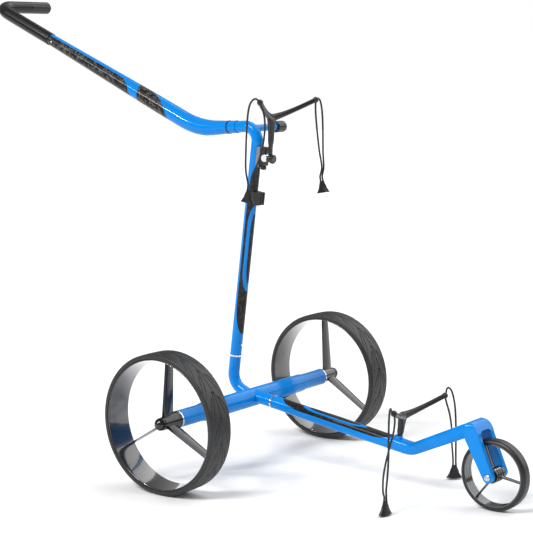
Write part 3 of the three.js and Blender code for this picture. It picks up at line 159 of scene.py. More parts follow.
class NodeSheet:
    """A shader or geometry tree that is filled by short calls."""

    def __init__(self, tree: bpy.types.NodeTree) -> None:
        """Empties the tree."""
        self.tree = tree
        tree.nodes.clear()

    def node(
        self, kind: str, settings: dict | None = None, inputs: dict | None = None
    ) -> bpy.types.Node:
        """Adds a node.

        Args:
            kind: the node's type.
            settings: properties that are set before its sockets.
            inputs: values or outputs for its sockets, by name or number.

        Returns:
            The new node.
        """
        made = self.tree.nodes.new(kind)
        for name, value in (settings or {}).items():
            setattr(made, name, value)
        for name, value in (inputs or {}).items():
            if isinstance(value, Socket):
                self.tree.links.new(value.link, made.inputs[name])
            else:
                made.inputs[name].default_value = value
        return made

    def add(
        self,
        kind: str,
        settings: dict | None = None,
        inputs: dict | None = None,
        output: str | int = 0,
    ) -> Socket:
        """Adds a node and gives back one of its outputs.

        Args:
            kind: the node's type.
            settings: properties that are set before its sockets.
            inputs: values or outputs for its sockets.
            output: the name or number of the output.

        Returns:
            That output.
        """
        return Socket(self, self.node(kind, settings, inputs).outputs[output])

    def mix(self, share: Value, first: Value | Colour, second: Value | Colour) -> Socket:
        """Mixes two colours.

        Args:
            share: how much of the second shows.
            first: the colour at share 0.
            second: the colour at share 1.

        Returns:
            The mixed colour.
        """
        inputs = {0: share, MIX_FIRST: full(first), MIX_SECOND: full(second)}
        settings = {"data_type": "RGBA", "blend_type": "MIX"}
        return self.add("ShaderNodeMix", settings, inputs, MIX_RESULT)

    def noise(self, place: Socket, scale: float, detail: float) -> Socket:
        """A random pattern whose marks are about 1 / scale metres wide."""
        inputs = {"Vector": place, "Scale": scale, "Detail": detail}
        return self.add("ShaderNodeTexNoise", inputs=inputs)

    def dot(self, place: Socket, direction: Vector) -> Socket:
        """How far a place lies along a direction."""
        inputs = {0: place, 1: tuple(direction)}
        return self.add("ShaderNodeVectorMath", {"operation": "DOT_PRODUCT"}, inputs, "Value")


def full(colour: Value | Colour) -> Value | tuple[float, float, float, float]:
    """A colour with its alpha, and a socket as it is."""
    return (*colour, 1.0) if isinstance(colour, tuple) and len(colour) == 3 else colour


# ---------------------------------------------------------------- finishes


BLUE = (0.0003, 0.215, 0.66)
PAINT_ROUGHNESS = 0.12
PAINT_MIRROR = 0.22


class Slot(Enum):
    """The record's material slots."""

    BLUE = "blue_paint"
    CARBON = "black_carbon"
    RUBBER = "tread_rubber"
    PLASTIC = "black_plastic"
    CHROME = "chrome"
    ALUMINIUM = "aluminium"
    STEEL = "steel"
    FOAM = "grip_foam"
    ELASTIC = "elastic"


@dataclass(frozen=True)
class Finish:
    """An even finish: paint, plastic, rubber or metal."""

    name: str
    slot: Slot
    colour: Colour
    roughness: float
    metallic: float = 0.0
    coat: float = 0.0
    coat_roughness: float = 0.04
    grain: float = 0.0  # height of a fine random grain, in metres
    grain_scale: float = 900.0
    mirror_level: float = 0.5  # how strongly it mirrors, 0.5 for most plastics

    def material(self) -> bpy.types.Material:
        """The finish's material, made when it is first asked for."""
        known = bpy.data.materials.get(self.name)
        if known:
            return known
        made = bpy.data.materials.new(self.name)
        made.use_nodes = True
        made.diffuse_color = (*self.colour, 1.0)
        self.dress(NodeSheet(made.node_tree))
        return made

    def dress(self, sheet: NodeSheet) -> None:
        """Fills the material's tree."""
        inputs: dict[str, Value | Colour] = {}
        if self.grain:
            inputs["Normal"] = self.grainy(sheet)
        self.shader(sheet, inputs)

    def grainy(self, sheet: NodeSheet) -> Socket:
        """A normal with the finish's fine grain."""
        place = sheet.add("ShaderNodeTexCoord", output="Object")
        noise = sheet.noise(place, self.grain_scale, 2.0)
        return sheet.add("ShaderNodeBump", inputs={"Height": noise, "Distance": self.grain})

    def shader(self, sheet: NodeSheet, varying: dict) -> None:
        """Adds the shader and the output.

        Args:
            sheet: the material's tree.
            varying: what changes over the surface, by socket name.
        """
        inputs = {
            "Base Color": full(self.colour),
            "Roughness": self.roughness,
            "Metallic": self.metallic,
            "Coat Weight": self.coat,
            "Coat Roughness": self.coat_roughness,
            "Specular IOR Level": self.mirror_level,
        }
        inputs.update(varying)
        surface = sheet.add("ShaderNodeBsdfPrincipled", inputs=inputs)
        sheet.node("ShaderNodeOutputMaterial", inputs={"Surface": surface})


@dataclass(frozen=True)
class Lozenge:
    """A long patch with rounded ends on a tube, the same on the tube's two sides."""

    start: float  # along the tube, in metres
    end: float
    half_angle: float  # degrees each way from its middle line
    start_round: float  # length of its rounded ends
    end_round: float

    def fullness(self, along: Socket, angle: Socket) -> Socket:
        """Less than 1 inside the patch.

        Args:
            along: metres along the tube.
            angle: degrees from the patch's middle line.

        Returns:
            A number that passes 1 at the patch's edge.
        """
        near = (1.0 - (along - self.start) / self.start_round).at_least(0.0)
        far = (1.0 - (self.end - along) / self.end_round).at_least(0.0)
        across = angle / self.half_angle
        return across * across + near * near + far * far

    def mask(self, along: Socket, angle: Socket, softness: float = 0.02) -> Socket:
        """1 inside the patch and 0 outside it."""
        return 1.0 - self.fullness(along, angle).rise(1.0 - softness, 1.0 + softness)


@dataclass(frozen=True)
class InlaidPaint(Finish):
    """Gloss paint with patches of dark carbon let into it."""

    slot: Slot = Slot.BLUE
    colour: Colour = BLUE
    roughness: float = PAINT_ROUGHNESS
    mirror_level: float = PAINT_MIRROR
    origin: tuple[float, float, float] = (0.0, 0.0, 0.0)
    along: tuple[float, float, float] = (0.0, 0.0, 1.0)
    upright: tuple[float, float, float] = (1.0, 0.0, 0.0)  # the patches' middle line
    dark: tuple[Lozenge, ...] = ()
    gap: Lozenge | None = None  # paint that parts the second dark patch from the first
    loop: Lozenge | None = None  # a painted loop inside the dark patch
    core: Lozenge | None = None  # dark again inside the loop
    carbon: Colour = (0.012, 0.012, 0.013)
    carbon_roughness: float = 0.1  # more than the paint's
    flake: float = 0.0  # how strongly the carbon's grey flakes show
    flake_colour: Colour = (0.1, 0.09, 0.077)
    flake_scale: float = 115.0
    flake_edge: tuple[float, float] = (0.48, 0.56)
    speck_scale: float = 260.0
    speck_edge: tuple[float, float] = (0.3, 0.6)

    def dress(self, sheet: NodeSheet) -> None:
        """Fills the material's tree."""
        place = sheet.add("ShaderNodeTexCoord", output="Object")
        inputs = {0: place, 1: self.origin}
        local = sheet.add("ShaderNodeVectorMath", {"operation": "SUBTRACT"}, inputs)
        along = sheet.dot(local, Vector(self.along))
        height = sheet.dot(local, Vector(self.upright))
        side = sheet.dot(local, ACROSS)
        mask = self.pattern(along, abs(side).angle_to(height) * math.degrees(1.0))
        flakes = sheet.noise(place, self.flake_scale, 3.0).rise(*self.flake_edge)
        specks = sheet.noise(place, self.speck_scale, 1.0).rise(*self.speck_edge)
        carbon = sheet.mix(flakes * specks * self.flake, self.carbon, self.flake_colour)
        colour = sheet.mix(mask, self.colour, carbon)
        rough = self.roughness + mask * self.carbon_roughness
        self.shader(sheet, {"Base Color": colour, "Roughness": rough})

    def pattern(self, along: Socket, angle: Socket) -> Socket:
        """1 where the carbon shows.

        Args:
            along: metres along the tube.
            angle: degrees from the patches' middle line.

        Returns:
            The mask.
        """
        first, *others = [patch.mask(along, angle) for patch in self.dark]
        for other in others:
            if self.gap:
                other = other * (1.0 - self.gap.mask(along, angle))
            first = other.at_least(first)
        if self.loop and self.core:
            line = self.loop.mask(along, angle) * (1.0 - self.core.mask(along, angle))
            first = first * (1.0 - line)
        return first


@dataclass(frozen=True)
class TreadRubber(Finish):
    """Satin rubber, a little paler where the tread is scuffed."""

    worn: Colour = (0.02, 0.02, 0.02)
    scuff_scale: float = 30.0
    scuff_edge: tuple[float, float] = (0.35, 0.8)

    def dress(self, sheet: NodeSheet) -> None:
        """Fills the material's tree."""
        place = sheet.add("ShaderNodeTexCoord", output="Object")
        scuffs = sheet.noise(place, self.scuff_scale, 4.0).rise(*self.scuff_edge)
        colour = sheet.mix(scuffs, self.colour, self.worn)
        self.shader(sheet, {"Base Color": colour, "Normal": self.grainy(sheet)})


PAINT = Finish("azure_paint", Slot.BLUE, BLUE, PAINT_ROUGHNESS, mirror_level=PAINT_MIRROR)
GLOSS_BLACK = Finish("gloss_black", Slot.PLASTIC, (0.006, 0.006, 0.0065), 0.14, coat=0.3)
SATIN_BLACK = Finish("satin_black", Slot.PLASTIC, (0.008, 0.008, 0.0085), 0.34)
SEAM = Finish("dark_seam", Slot.PLASTIC, (0.001, 0.04, 0.13), 0.3)
RIM_BLACK = Finish(
    "rim_black", Slot.CARBON, (0.012, 0.012, 0.014), 0.17, coat=1.0, mirror_level=0.8
)
CHROME = Finish("chrome_plate", Slot.CHROME, (0.78, 0.79, 0.8), 0.12, 1.0)
STEEL = Finish("bright_steel", Slot.STEEL, (0.55, 0.56, 0.57), 0.3, 1.0)
ALUMINIUM = Finish("anodised_aluminium", Slot.ALUMINIUM, (0.3, 0.31, 0.32), 0.4, 1.0)
SLEEVE = Finish("soft_sleeve", Slot.FOAM, (0.004, 0.004, 0.004), 0.3, mirror_level=0.35)
ELASTIC = Finish("dark_elastic", Slot.ELASTIC, (0.012, 0.012, 0.013), 0.7)
TREAD = TreadRubber(
    "tread_rubber_satin", Slot.RUBBER, (0.011, 0.011, 0.0115), 0.46, grain=3e-5, grain_scale=1200.0
)
SMOOTH_TYRE = Finish("smooth_tyre", Slot.RUBBER, (0.007, 0.007, 0.0072), 0.38)


# ---------------------------------------------------------------- mesh helpers


def centre(node: str) -> Vector:
    """The middle of a CAD node's box."""
    low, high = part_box(node)
    return (low + high) / 2.0


def half_width(node: str) -> float:
    """Half the width of a CAD node's box, across the trolley."""
    low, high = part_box(node)
    return (high.y - low.y) / 2.0


def linked(name: str, data: bpy.types.ID) -> bpy.types.Object:
    """A new object in the scene, at the origin."""
    made = bpy.data.objects.new(name, data)
    bpy.context.scene.collection.objects.link(made)
    return made


def plain_copy(made: bpy.types.Object) -> bpy.types.Mesh:
    """The plain mesh that an object's modifiers give."""
    bpy.context.view_layer.update()
    graph = bpy.context.evaluated_depsgraph_get()
    return bpy.data.meshes.new_from_object(made.evaluated_get(graph))


def mesh_object(
    name: str, points: Sequence[Vector], faces: Sequence[Sequence[int]], finish: Finish
) -> bpy.types.Object:
    """Makes an object at the origin.

    Args:
        name: the object's name.
        points: its corners in the part's frame.
        faces: corner numbers of each face.
        finish: what it is made of.

    Returns:
        The object, its faces smooth and pointing outwards.
    """
    mesh = bpy.data.meshes.new(name)
    mesh.from_pydata([tuple(point) for point in points], [], faces)
    mesh.materials.append(finish.material())
    tidy_mesh(mesh)
    return linked(name, mesh)


def tidy_mesh(mesh: bpy.types.Mesh, crease: float = CREASE) -> None:
    """Welds a mesh, points its faces outwards and keeps its edges crisp.

    Args:
        mesh: the mesh.
        crease: edges that turn by more than this many degrees stay sharp.
    """
    work = bmesh.new()
    work.from_mesh(mesh)
    bmesh.ops.remove_doubles(work, verts=work.verts, dist=WELD)
    bmesh.ops.recalc_face_normals(work, faces=work.faces)
    shade(work, crease)
    work.to_mesh(mesh)
    work.free()


def shade(work: bmesh.types.BMesh, crease: float) -> None:
    """Shades faces smooth and keeps edges sharp that turn by more than crease degrees."""
    limit = math.radians(crease)
    for edge in work.edges:
        edge.smooth = len(edge.link_faces) == 2 and edge.calc_face_angle(0.0) < limit
    for face in work.faces:
        face.smooth = True
        face.material_index = 0


def show(made: bpy.types.Object, body: str, finish: Finish, *nodes: str) -> bpy.types.Object:
    """Puts a finished piece on its body in place of CAD nodes.

    Args:
        made: the piece.
        body: the CAD body that it moves with.
        finish: not used.
        nodes: the CAD nodes that it stands for.

    Returns:
        The piece.
    """
    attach(made, body)
    if nodes:
        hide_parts(*nodes)
    LOG.info("%s on %s, %d faces", made.name, body, len(made.data.polygons))
    return made


def polished(
    frame: dict, node: str, finish: Finish, bevel: float = 0.0, crease: float = CREASE
) -> bpy.types.Object:
    """A smooth copy of a CAD node, in its own finish.

    Args:
        node: the CAD node.
        finish: what it is made of.
        bevel: width of its rounded edges, in metres, or 0 for none.
        crease: edges that turn by more than this many degrees stay sharp.

    Returns:
        The copy, already on its body.
    """
    source = frame["nodes"][node]
    mesh = source.data.copy()
    mesh.name = f"{node}_skin"
    mesh.materials.clear()
    mesh.materials.append(finish.material())
    work = bmesh.new()
    work.from_mesh(mesh)
    bmesh.ops.remove_doubles(work, verts=work.verts, dist=WELD)
    flat = math.radians(0.6)  # triangles that turn by less than this are one face
    bmesh.ops.dissolve_limit(work, angle_limit=flat, verts=work.verts, edges=work.edges)
    shade(work, crease)
    work.to_mesh(mesh)
    work.free()
    made = linked(f"{node}_skin", mesh)
    if bevel:
        rounder = made.modifiers.new("rounded_edges", "BEVEL")
        rounder.width = bevel
        rounder.segments = 2
        rounder.limit_method = "ANGLE"
        rounder.angle_limit = math.radians(crease)
        rounder.use_clamp_overlap = True
    return show(made, source["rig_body"], finish, node)


def turned(
    name: str,
    base: Vector,
    direction: Vector,
    profile: Sequence[tuple[float, float]],
    finish: Finish,
    steps: int = 64,
) -> bpy.types.Object:
    """A turned piece.

    Args:
        name: the object's name.
        base: the point on the axis that the profile is measured from.
        direction: the axis.
        profile: (along, radius) points. It starts and ends on the axis, or closes on itself.
        finish: what it is made of.
        steps: facets around the axis.

    Returns:
        The object.
    """
    axis = direction.normalized()
    first = axis.orthogonal().normalized()
    second = axis.cross(first)
    points, faces = [], []
    for step in range(steps):
        angle = 2.0 * math.pi * step / steps
        spoke = first * math.cos(angle) + second * math.sin(angle)
        points += [base + axis * along + spoke * radius for along, radius in profile]
    count = len(profile)
    for step in range(steps):
        here, there = step * count, (step + 1) % steps * count
        for index in range(count - 1):
            if profile[index][1] == 0.0 and profile[index + 1][1] == 0.0:
                continue
            corners = [here + index, here + index + 1, there + index + 1, there + index]
            if profile[index][1] == 0.0:
                corners.pop(3)
            if profile[index + 1][1] == 0.0:
                corners.pop(2)
            faces.append(corners)
    return mesh_object(name, points, faces, finish)


def swept(
    name: str,
    stations: Sequence[Vector],
    section: Callable[[float], tuple[float, float, float]],
    finish: Finish,
    steps: int = 48,
    side: Vector = ACROSS,
) -> bpy.types.Object:
    """A bar or tube that follows a path.

    Args:
        name: the object's name.
        stations: the path's points.
        section: gives (half width, half height, squareness) at a share of the length.
        finish: what it is made of.
        steps: points around the section.
        side: the direction of the section's width at the start.

    Returns:
        The object, closed at both ends.
    """
    points, faces = [], []
    lengths = [0.0]
    for a, b in zip(stations, stations[1:]):
        lengths.append(lengths[-1] + (b - a).length)
    for index, station in enumerate(stations):
        before = stations[max(index - 1, 0)]
        after = stations[min(index + 1, len(stations) - 1)]
        ahead = (after - before).normalized()
        side = (side - ahead * side.dot(ahead)).normalized()
        above = ahead.cross(side)
        wide, high, power = section(lengths[index] / lengths[-1])
        for step in range(steps):
            angle = 2.0 * math.pi * step / steps
            across, up = math.cos(angle), math.sin(angle)
            across = math.copysign(abs(across) ** (2.0 / power), across)
            up = math.copysign(abs(up) ** (2.0 / power), up)
            points.append(station + side * wide * across + above * high * up)
    for index in range(len(stations) - 1):
        for step in range(steps):
            a, b = index * steps + step, index * steps + (step + 1) % steps
            faces.append([a, b, b + steps, a + steps])
    faces.append(list(range(steps))[::-1])
    faces.append([(len(stations) - 1) * steps + step for step in range(steps)])
    return mesh_object(name, points, faces, finish)


def ball(name: str, middle: Vector, radius: float, finish: Finish) -> bpy.types.Object:
    """A ball, whose first and last rings stand 10 degrees from its poles."""
    profile = [(-radius, 0.0), *arc((0.0, 0.0), radius, 170, 10, 8), (radius, 0.0)]
    return turned(name, middle, UP, profile, finish, 20)


def fused(
    name: str, parts: Sequence[bpy.types.Object], finish: Finish, grain: float, softening: int
) -> bpy.types.Object:
    """Melts overlapping parts into one moulded piece.

    Args:
        name: the object's name.
        parts: closed objects, which are used up.
        finish: what the piece is made of.
        grain: the size of its smallest faces, in metres.
        softening: how many times its corners are smoothed.

    Returns:
        The piece, a plain mesh.
    """
    work = bmesh.new()
    for part in parts:
        work.from_mesh(part.data)
        bpy.data.objects.remove(part)
    mesh = bpy.data.meshes.new(name)
    work.to_mesh(mesh)
    work.free()
    made = linked(name, mesh)
    melt = made.modifiers.new("melt", "REMESH")
    melt.mode = "VOXEL"
    melt.voxel_size = grain
    soften = made.modifiers.new("soften", "SMOOTH")
    soften.factor = 0.5
    soften.iterations = softening
    melted = plain_copy(made)
    made.modifiers.clear()
    made.data = melted
    melted.materials.clear()
    melted.materials.append(finish.material())
    tidy_mesh(melted, MOULDED_CREASE)
    return made


def arc(
    centre_at: tuple[float, float], radius: float, start: float, end: float, steps: int
) -> list[tuple[float, float]]:
    """Points of an arc in a turned profile.

    Args:
        centre_at: the arc's centre, along and out.
        radius: its radius.
        start: first angle in degrees, 0 along the axis and 90 outwards.
        end: last angle.
        steps: number of steps.

    Returns:
        The (along, radius) points.
    """
    turn = [math.radians(start + (end - start) * i / steps) for i in range(steps + 1)]
    along, out = centre_at
    return [(along + radius * math.cos(a), out + radius * math.sin(a)) for a in turn]


# ---------------------------------------------------------------- geometry nodes


class Generator:
    """A Geometry Nodes tree with named inputs."""

    def __init__(self, name: str, sizes: dict[str, float]) -> None:
        """Makes the tree.

        Args:
            name: the tree's name.
            sizes: its inputs and their values.
        """
        self.tree = bpy.data.node_groups.new(name, "GeometryNodeTree")
        self.sheet = NodeSheet(self.tree)
        self.sizes = sizes
        face = self.tree.interface
        face.new_socket("Geometry", in_out="INPUT", socket_type="NodeSocketGeometry")
        for label in sizes:
            face.new_socket(label, in_out="INPUT", socket_type="NodeSocketFloat")
        face.new_socket("Geometry", in_out="OUTPUT", socket_type="NodeSocketGeometry")
        self.source = self.sheet.node("NodeGroupInput")

    def size(self, label: str) -> Socket:
        """One of the named inputs."""
        return Socket(self.sheet, self.source.outputs[label])

    def geometry(self) -> Socket:
        """The mesh that comes in."""
        return Socket(self.sheet, self.source.outputs["Geometry"])

    def close(self, result: Socket, finish: Finish) -> None:
        """Ends the tree in Realize Instances and Set Material."""
        real = self.sheet.add("GeometryNodeRealizeInstances", inputs={"Geometry": result})
        dressed = self.sheet.add(
            "GeometryNodeSetMaterial", inputs={"Geometry": real, "Material": finish.material()}
        )
        self.sheet.node("NodeGroupOutput", inputs={"Geometry": dressed})

    def bake(self, made: bpy.types.Object) -> None:
        """Runs the tree on an object and keeps the plain mesh."""
        modifier = made.modifiers.new(self.tree.name, "NODES")
        modifier.node_group = self.tree
        for item in self.tree.interface.items_tree:
            if item.in_out == "INPUT" and item.name in self.sizes:
                modifier[item.identifier] = float(self.sizes[item.name])
        mesh = plain_copy(made)
        made.modifiers.remove(modifier)
        made.data = mesh
        tidy_mesh(mesh)


# ---------------------------------------------------------------- wheels


@dataclass(frozen=True)
class Feathers:
    """A family of tread grooves that swoop from the tread's middle to its edges."""

    bend: float  # 1 swoops evenly, less turns early and more turns late
    sweep: float  # how far round a groove swoops, in pitches
    offset: float  # from the other family, in pitches
    width: float  # half its width, in pitches
    start: float  # 0 begins in the tread's middle, 1 at its edge
    start_run: float = 0.06  # how soon it is full
    taper: float = 1.15  # 1 thins to nothing at the tread's edge
    floor: float = 0.55  # how much of its width is flat


@dataclass
class RearWheel:
    """A plug-on wheel: tread, rim, bladed hub and quick-release dome."""

    side: str
    radius: float = 0.145
    tyre_depth: float = 0.0097
    crown: float = 0.0006  # how much lower the tread is at its edges
    shoulder: float = 0.0035
    shoulder_rows: int = 5
    rim_wall: float = 0.003
    rim_gap: float = 0.0003  # between the rim and the tyre
    groove_depth: float = 0.0013
    grooves_round: float = 17.0
    long_feathers: Feathers = Feathers(0.62, 1.9, 0.0, 0.06, 0.0)
    short_feathers: Feathers = Feathers(1.5, 1.1, 0.45, 0.075, 0.3)
    middle_edge: tuple[float, float] = (0.015, 0.045)  # of the groove round the tread's middle
    middle_depth: float = 0.7  # of that groove, as a share
    bite: tuple[float, float] = (-0.0014, -0.0008)  # how near the tread's top grooves begin
    facets: int = 420
    tread_rows: int = 36

    def build(self, frame: dict) -> None:
        """Builds the wheel's pieces."""
        self.tyre()
        self.rim()
        polished(frame, f"rear_hub_spokes_{self.side}", GLOSS_BLACK, crease=FINE_CREASE)
        polished(frame, f"release_cap_{self.side}", GLOSS_BLACK)

    def tyre(self) -> None:
        """The tread band with its feathered grooves."""
        node = f"rear_tyre_{self.side}"
        middle, half = centre(node), half_width(node)
        soft, low_edge = self.shoulder, self.radius - self.shoulder - self.crown
        floor = self.radius - self.tyre_depth
        profile = [(-half, floor)]
        profile += arc((-half + soft, low_edge), soft, 180, 100, self.shoulder_rows)
        span = half - soft
        for row in range(self.tread_rows + 1):
            along = -span + 2.0 * span * row / self.tread_rows
            profile.append((along, self.radius - self.crown * (along / span) ** 2))
        profile += arc((half - soft, low_edge), soft, 80, 0, self.shoulder_rows)
        profile += [(half, floor), profile[0]]
        made = turned(f"tyre_{self.side}", middle, ACROSS, profile, TREAD, self.facets)
        self.grooves(middle, half).bake(made)
        show(made, f"{self.side}_wheel", TREAD, node)

    def grooves(self, middle: Vector, half: float) -> Generator:
        """The tree that sinks the grooves into the tread.

        Args:
            middle: the wheel's centre.
            half: half the tread's width.

        Returns:
            The tree.
        """
        tree = Generator(
            f"tread_grooves_{self.side}",
            {
                "Axle X": middle.x,
                "Axle Z": middle.z,
                "Middle Y": middle.y,
                "Half Width": half,
                "Tread Radius": self.radius,
                "Groove Depth": self.groove_depth,
                "Grooves Round": self.grooves_round,
            },
        )
        sheet = tree.sheet
        place = sheet.add("GeometryNodeInputPosition")
        outputs = sheet.node("ShaderNodeSeparateXYZ", inputs={"Vector": place}).outputs
        x, y, z = (Socket(sheet, output) for output in outputs)
        out_x, out_z = x - tree.size("Axle X"), z - tree.size("Axle Z")
        reach = (out_x * out_x + out_z * out_z) ** 0.5
        turn = out_z.angle_to(out_x) / (2.0 * math.pi) * tree.size("Grooves Round")
        away = abs((y - tree.size("Middle Y")) / tree.size("Half Width"))
        long_cut = self.cut(turn, away, self.long_feathers)
        short_cut = self.cut(turn, away, self.short_feathers)
        middle_cut = (1.0 - away.rise(*self.middle_edge)) * self.middle_depth
        depth = long_cut.at_least(short_cut).at_least(middle_cut)
        on_tread = (reach - tree.size("Tread Radius")).rise(*self.bite)
        sink = depth * on_tread * tree.size("Groove Depth") * -1.0
        parts = {"X": out_x * sink / reach, "Z": out_z * sink / reach}
        inward = sheet.add("ShaderNodeCombineXYZ", inputs=parts)
        moved = {"Geometry": tree.geometry(), "Offset": inward}
        tree.close(sheet.add("GeometryNodeSetPosition", inputs=moved), TREAD)
        return tree

    @staticmethod
    def cut(turn: Socket, away: Socket, family: Feathers) -> Socket:
        """Grooves that thin towards the tread's edge.

        Args:
            turn: how far round the wheel, in pitches.
            away: 0 in the tread's middle, 1 at its edges.
            family: the grooves' shape.

        Returns:
            1 in a groove's floor and 0 outside it.
        """
        phase = turn + away**family.bend * family.sweep + family.offset
        off = abs((phase + 0.5).fraction() - 0.5)
        thin = (family.taper - away) * family.width
        begun = away.rise(family.start, family.start + family.start_run)
        return (1.0 - (off / thin).rise(family.floor, 1.0)) * begun

    def rim(self) -> None:
        """The smooth black band inside the tyre."""
        node = f"rear_rim_{self.side}"
        outer = self.radius - self.tyre_depth - self.rim_gap
        edge = self.rim_wall / 2.0
        flat = half_width(node) - edge
        profile = [(-flat, outer), (flat, outer)]
        profile += arc((flat, outer - edge), edge, 90, -90, 6)
        profile += arc((-flat, outer - edge), edge, 270, 90, 6)
        profile.append(profile[0])
        made = turned(f"rim_{self.side}", centre(node), ACROSS, profile, RIM_BLACK, 180)
        show(made, f"{self.side}_wheel", RIM_BLACK, node)


@dataclass
class FrontWheel:
    """The small wheel between the fork's blades."""

    radius: float = 0.071
    tyre_depth: float = 0.0077
    shoulder: float = 0.0065
    rim_wall: float = 0.0026
    rim_gap: float = 0.0003  # between the rim and the tyre
    rings: int = 4
    ring_depth: float = 0.0005
    ring_slope: float = 0.0006

    def build(self, frame: dict) -> None:
        """Builds the wheel's pieces."""
        self.tyre()
        self.rim()
        polished(frame, "front_hub_spokes", GLOSS_BLACK, crease=FINE_CREASE)
        polished(frame, "front_wheel_bush", SATIN_BLACK)

    def tyre(self) -> None:
        """The plain satin tyre with rounded shoulders."""
        half, soft = half_width("front_tyre"), self.shoulder
        floor, low_edge = self.radius - self.tyre_depth, self.radius - self.shoulder
        profile = [(-half, floor), *arc((-half + soft, low_edge), soft, 180, 90, 8)]
        profile += [*arc((half - soft, low_edge), soft, 90, 0, 8), (half, floor)]
        profile.append(profile[0])
        middle = centre("front_tyre")
        made = turned("front_tyre_skin", middle, ACROSS, profile, SMOOTH_TYRE, 160)
        show(made, "front_wheel", SMOOTH_TYRE, "front_tyre")

    def rim(self) -> None:
        """The rim, with fine rings turned into its inner face."""
        half = half_width("front_rim")
        outer = self.radius - self.tyre_depth - self.rim_gap
        inner = outer - self.rim_wall
        sunk, slope = inner + self.ring_depth, self.ring_slope
        profile = [(-half, outer), (half, outer)]
        for ring in range(self.rings):
            start = half - 2.0 * half * ring / self.rings
            end = half - 2.0 * half * (ring + 1) / self.rings
            profile += [(start, inner), (start - slope, sunk), (end + slope, sunk), (end, inner)]
        profile.append(profile[0])
        middle = centre("front_rim")
        made = turned("front_rim_skin", middle, ACROSS, profile, RIM_BLACK, 128)
        show(made, "front_wheel", RIM_BLACK, "front_rim")


# ---------------------------------------------------------------- axle


@dataclass
class Axle:
    """The rear axle tube with its ends, the mast's stub and the arm's neck."""

    middle_radius: float = 0.02
    end_radius: float = 0.018
    wall: float = 0.002
    middle_length: float = 0.340
    shoulder_length: float = 0.012

    def build(self, frame: dict) -> None:
        """Builds the axle's pieces."""
        self.tube()
        polished(frame, "mast_stub", PAINT)
        polished(frame, "front_neck", PAINT)
        polished(frame, "mast_joint_ring", CHROME, crease=FINE_CREASE)
        polished(frame, "arm_joint_ring", CHROME, crease=FINE_CREASE)
        for side in SIDES:
            polished(frame, f"axle_end_cap_{side}", GLOSS_BLACK)
            polished(frame, f"axle_trim_ring_{side}", CHROME)
            polished(frame, f"gear_motor_{side}", STEEL)
            polished(frame, f"axle_bearing_{side}", STEEL)
            polished(frame, f"drive_shaft_{side}", STEEL)

    def tube(self) -> None:
        """The painted tube, thick in the middle and drawn in at both ends."""
        half, flat = half_width("axle_tube"), self.middle_length / 2.0
        drawn = flat + self.shoulder_length
        outer = [(-half, self.end_radius), (-drawn, self.end_radius), (-flat, self.middle_radius)]
        outer += [(-along, radius) for along, radius in reversed(outer)]
        bore = self.end_radius - self.wall
        profile = [*outer, (half, bore), (-half, bore), outer[0]]
        made = turned("axle_tube_skin", centre("axle_tube"), ACROSS, profile, PAINT, 96)
        show(made, "chassis", PAINT, "axle_tube")


# ---------------------------------------------------------------- mast and handle


@dataclass
class Mast:
    """The leaning mast with what is fixed on it."""

    lean: float = math.radians(7.9)
    foot: tuple[float, float, float] = (0.01536, 0.0, 0.2313)
    inlay: Lozenge = Lozenge(0.052, 0.423, 96.0, 0.075, 0.075)
    loop: Lozenge = Lozenge(0.148, 0.338, 67.0, 0.05, 0.045)
    core: Lozenge = Lozenge(0.165, 0.32, 33.0, 0.05, 0.045)

    def build(self, frame: dict) -> None:
        """Builds the mast's pieces."""
        along = (math.sin(self.lean), 0.0, math.cos(self.lean))
        forward = (math.cos(self.lean), 0.0, -math.sin(self.lean))
        inlaid = InlaidPaint(
            "mast_inlaid_paint",
            origin=self.foot,
            along=along,
            upright=forward,
            dark=(self.inlay,),
            loop=self.loop,
            core=self.core,
            flake=0.25,
        )
        polished(frame, "mast_tube", inlaid)
        polished(frame, "handle_coupling", PAINT)
        polished(frame, "handle_joint_ring", SEAM)
        polished(frame, "bracket_plate", ALUMINIUM, bevel=0.0005)
        polished(frame, "hinge_seat", SATIN_BLACK, bevel=0.0003)
        polished(frame, "mast_bumper", SATIN_BLACK, bevel=0.0015)
        polished(frame, "accessory_holder", PAINT)
        polished(frame, "accessory_screw", STEEL)
        polished(frame, "accessory_cap", SATIN_BLACK, bevel=0.0005)
        polished(frame, "snap_button", CHROME)
        polished(frame, "height_lock_knob", SATIN_BLACK, bevel=0.0005)


@dataclass
class Handle:
    """The long handle with its soft sleeve and speed dial."""

    rise: float = math.radians(23.7)
    corner: tuple[float, float, float] = (-0.0794, 0.0, 0.7233)
    grip_inlay: Lozenge = Lozenge(0.201, 0.6, 148.0, 0.05, 0.05)
    bend_inlay: Lozenge = Lozenge(0.079, 0.6, 188.0, 0.11, 0.05)
    gap: Lozenge = Lozenge(0.179, 0.7, 200.0, 0.03, 0.05)

    def build(self, frame: dict) -> None:
        """Builds the handle's pieces."""
        along = (-math.cos(self.rise), 0.0, math.sin(self.rise))
        below = (-math.sin(self.rise), 0.0, -math.cos(self.rise))
        inlaid = InlaidPaint(
            "handle_inlaid_paint",
            origin=self.corner,
            along=along,
            upright=below,
            dark=(self.grip_inlay, self.bend_inlay),
            gap=self.gap,
            flake=1.0,
        )
        polished(frame, "handle_arm", inlaid)
        polished(frame, "handle_rivet", STEEL)
        polished(frame, "hand_grip", SLEEVE)
        polished(frame, "speed_potentiometer", SATIN_BLACK)
        polished(frame, "speed_dial", SATIN_BLACK, bevel=0.0004)


# ---------------------------------------------------------------- front


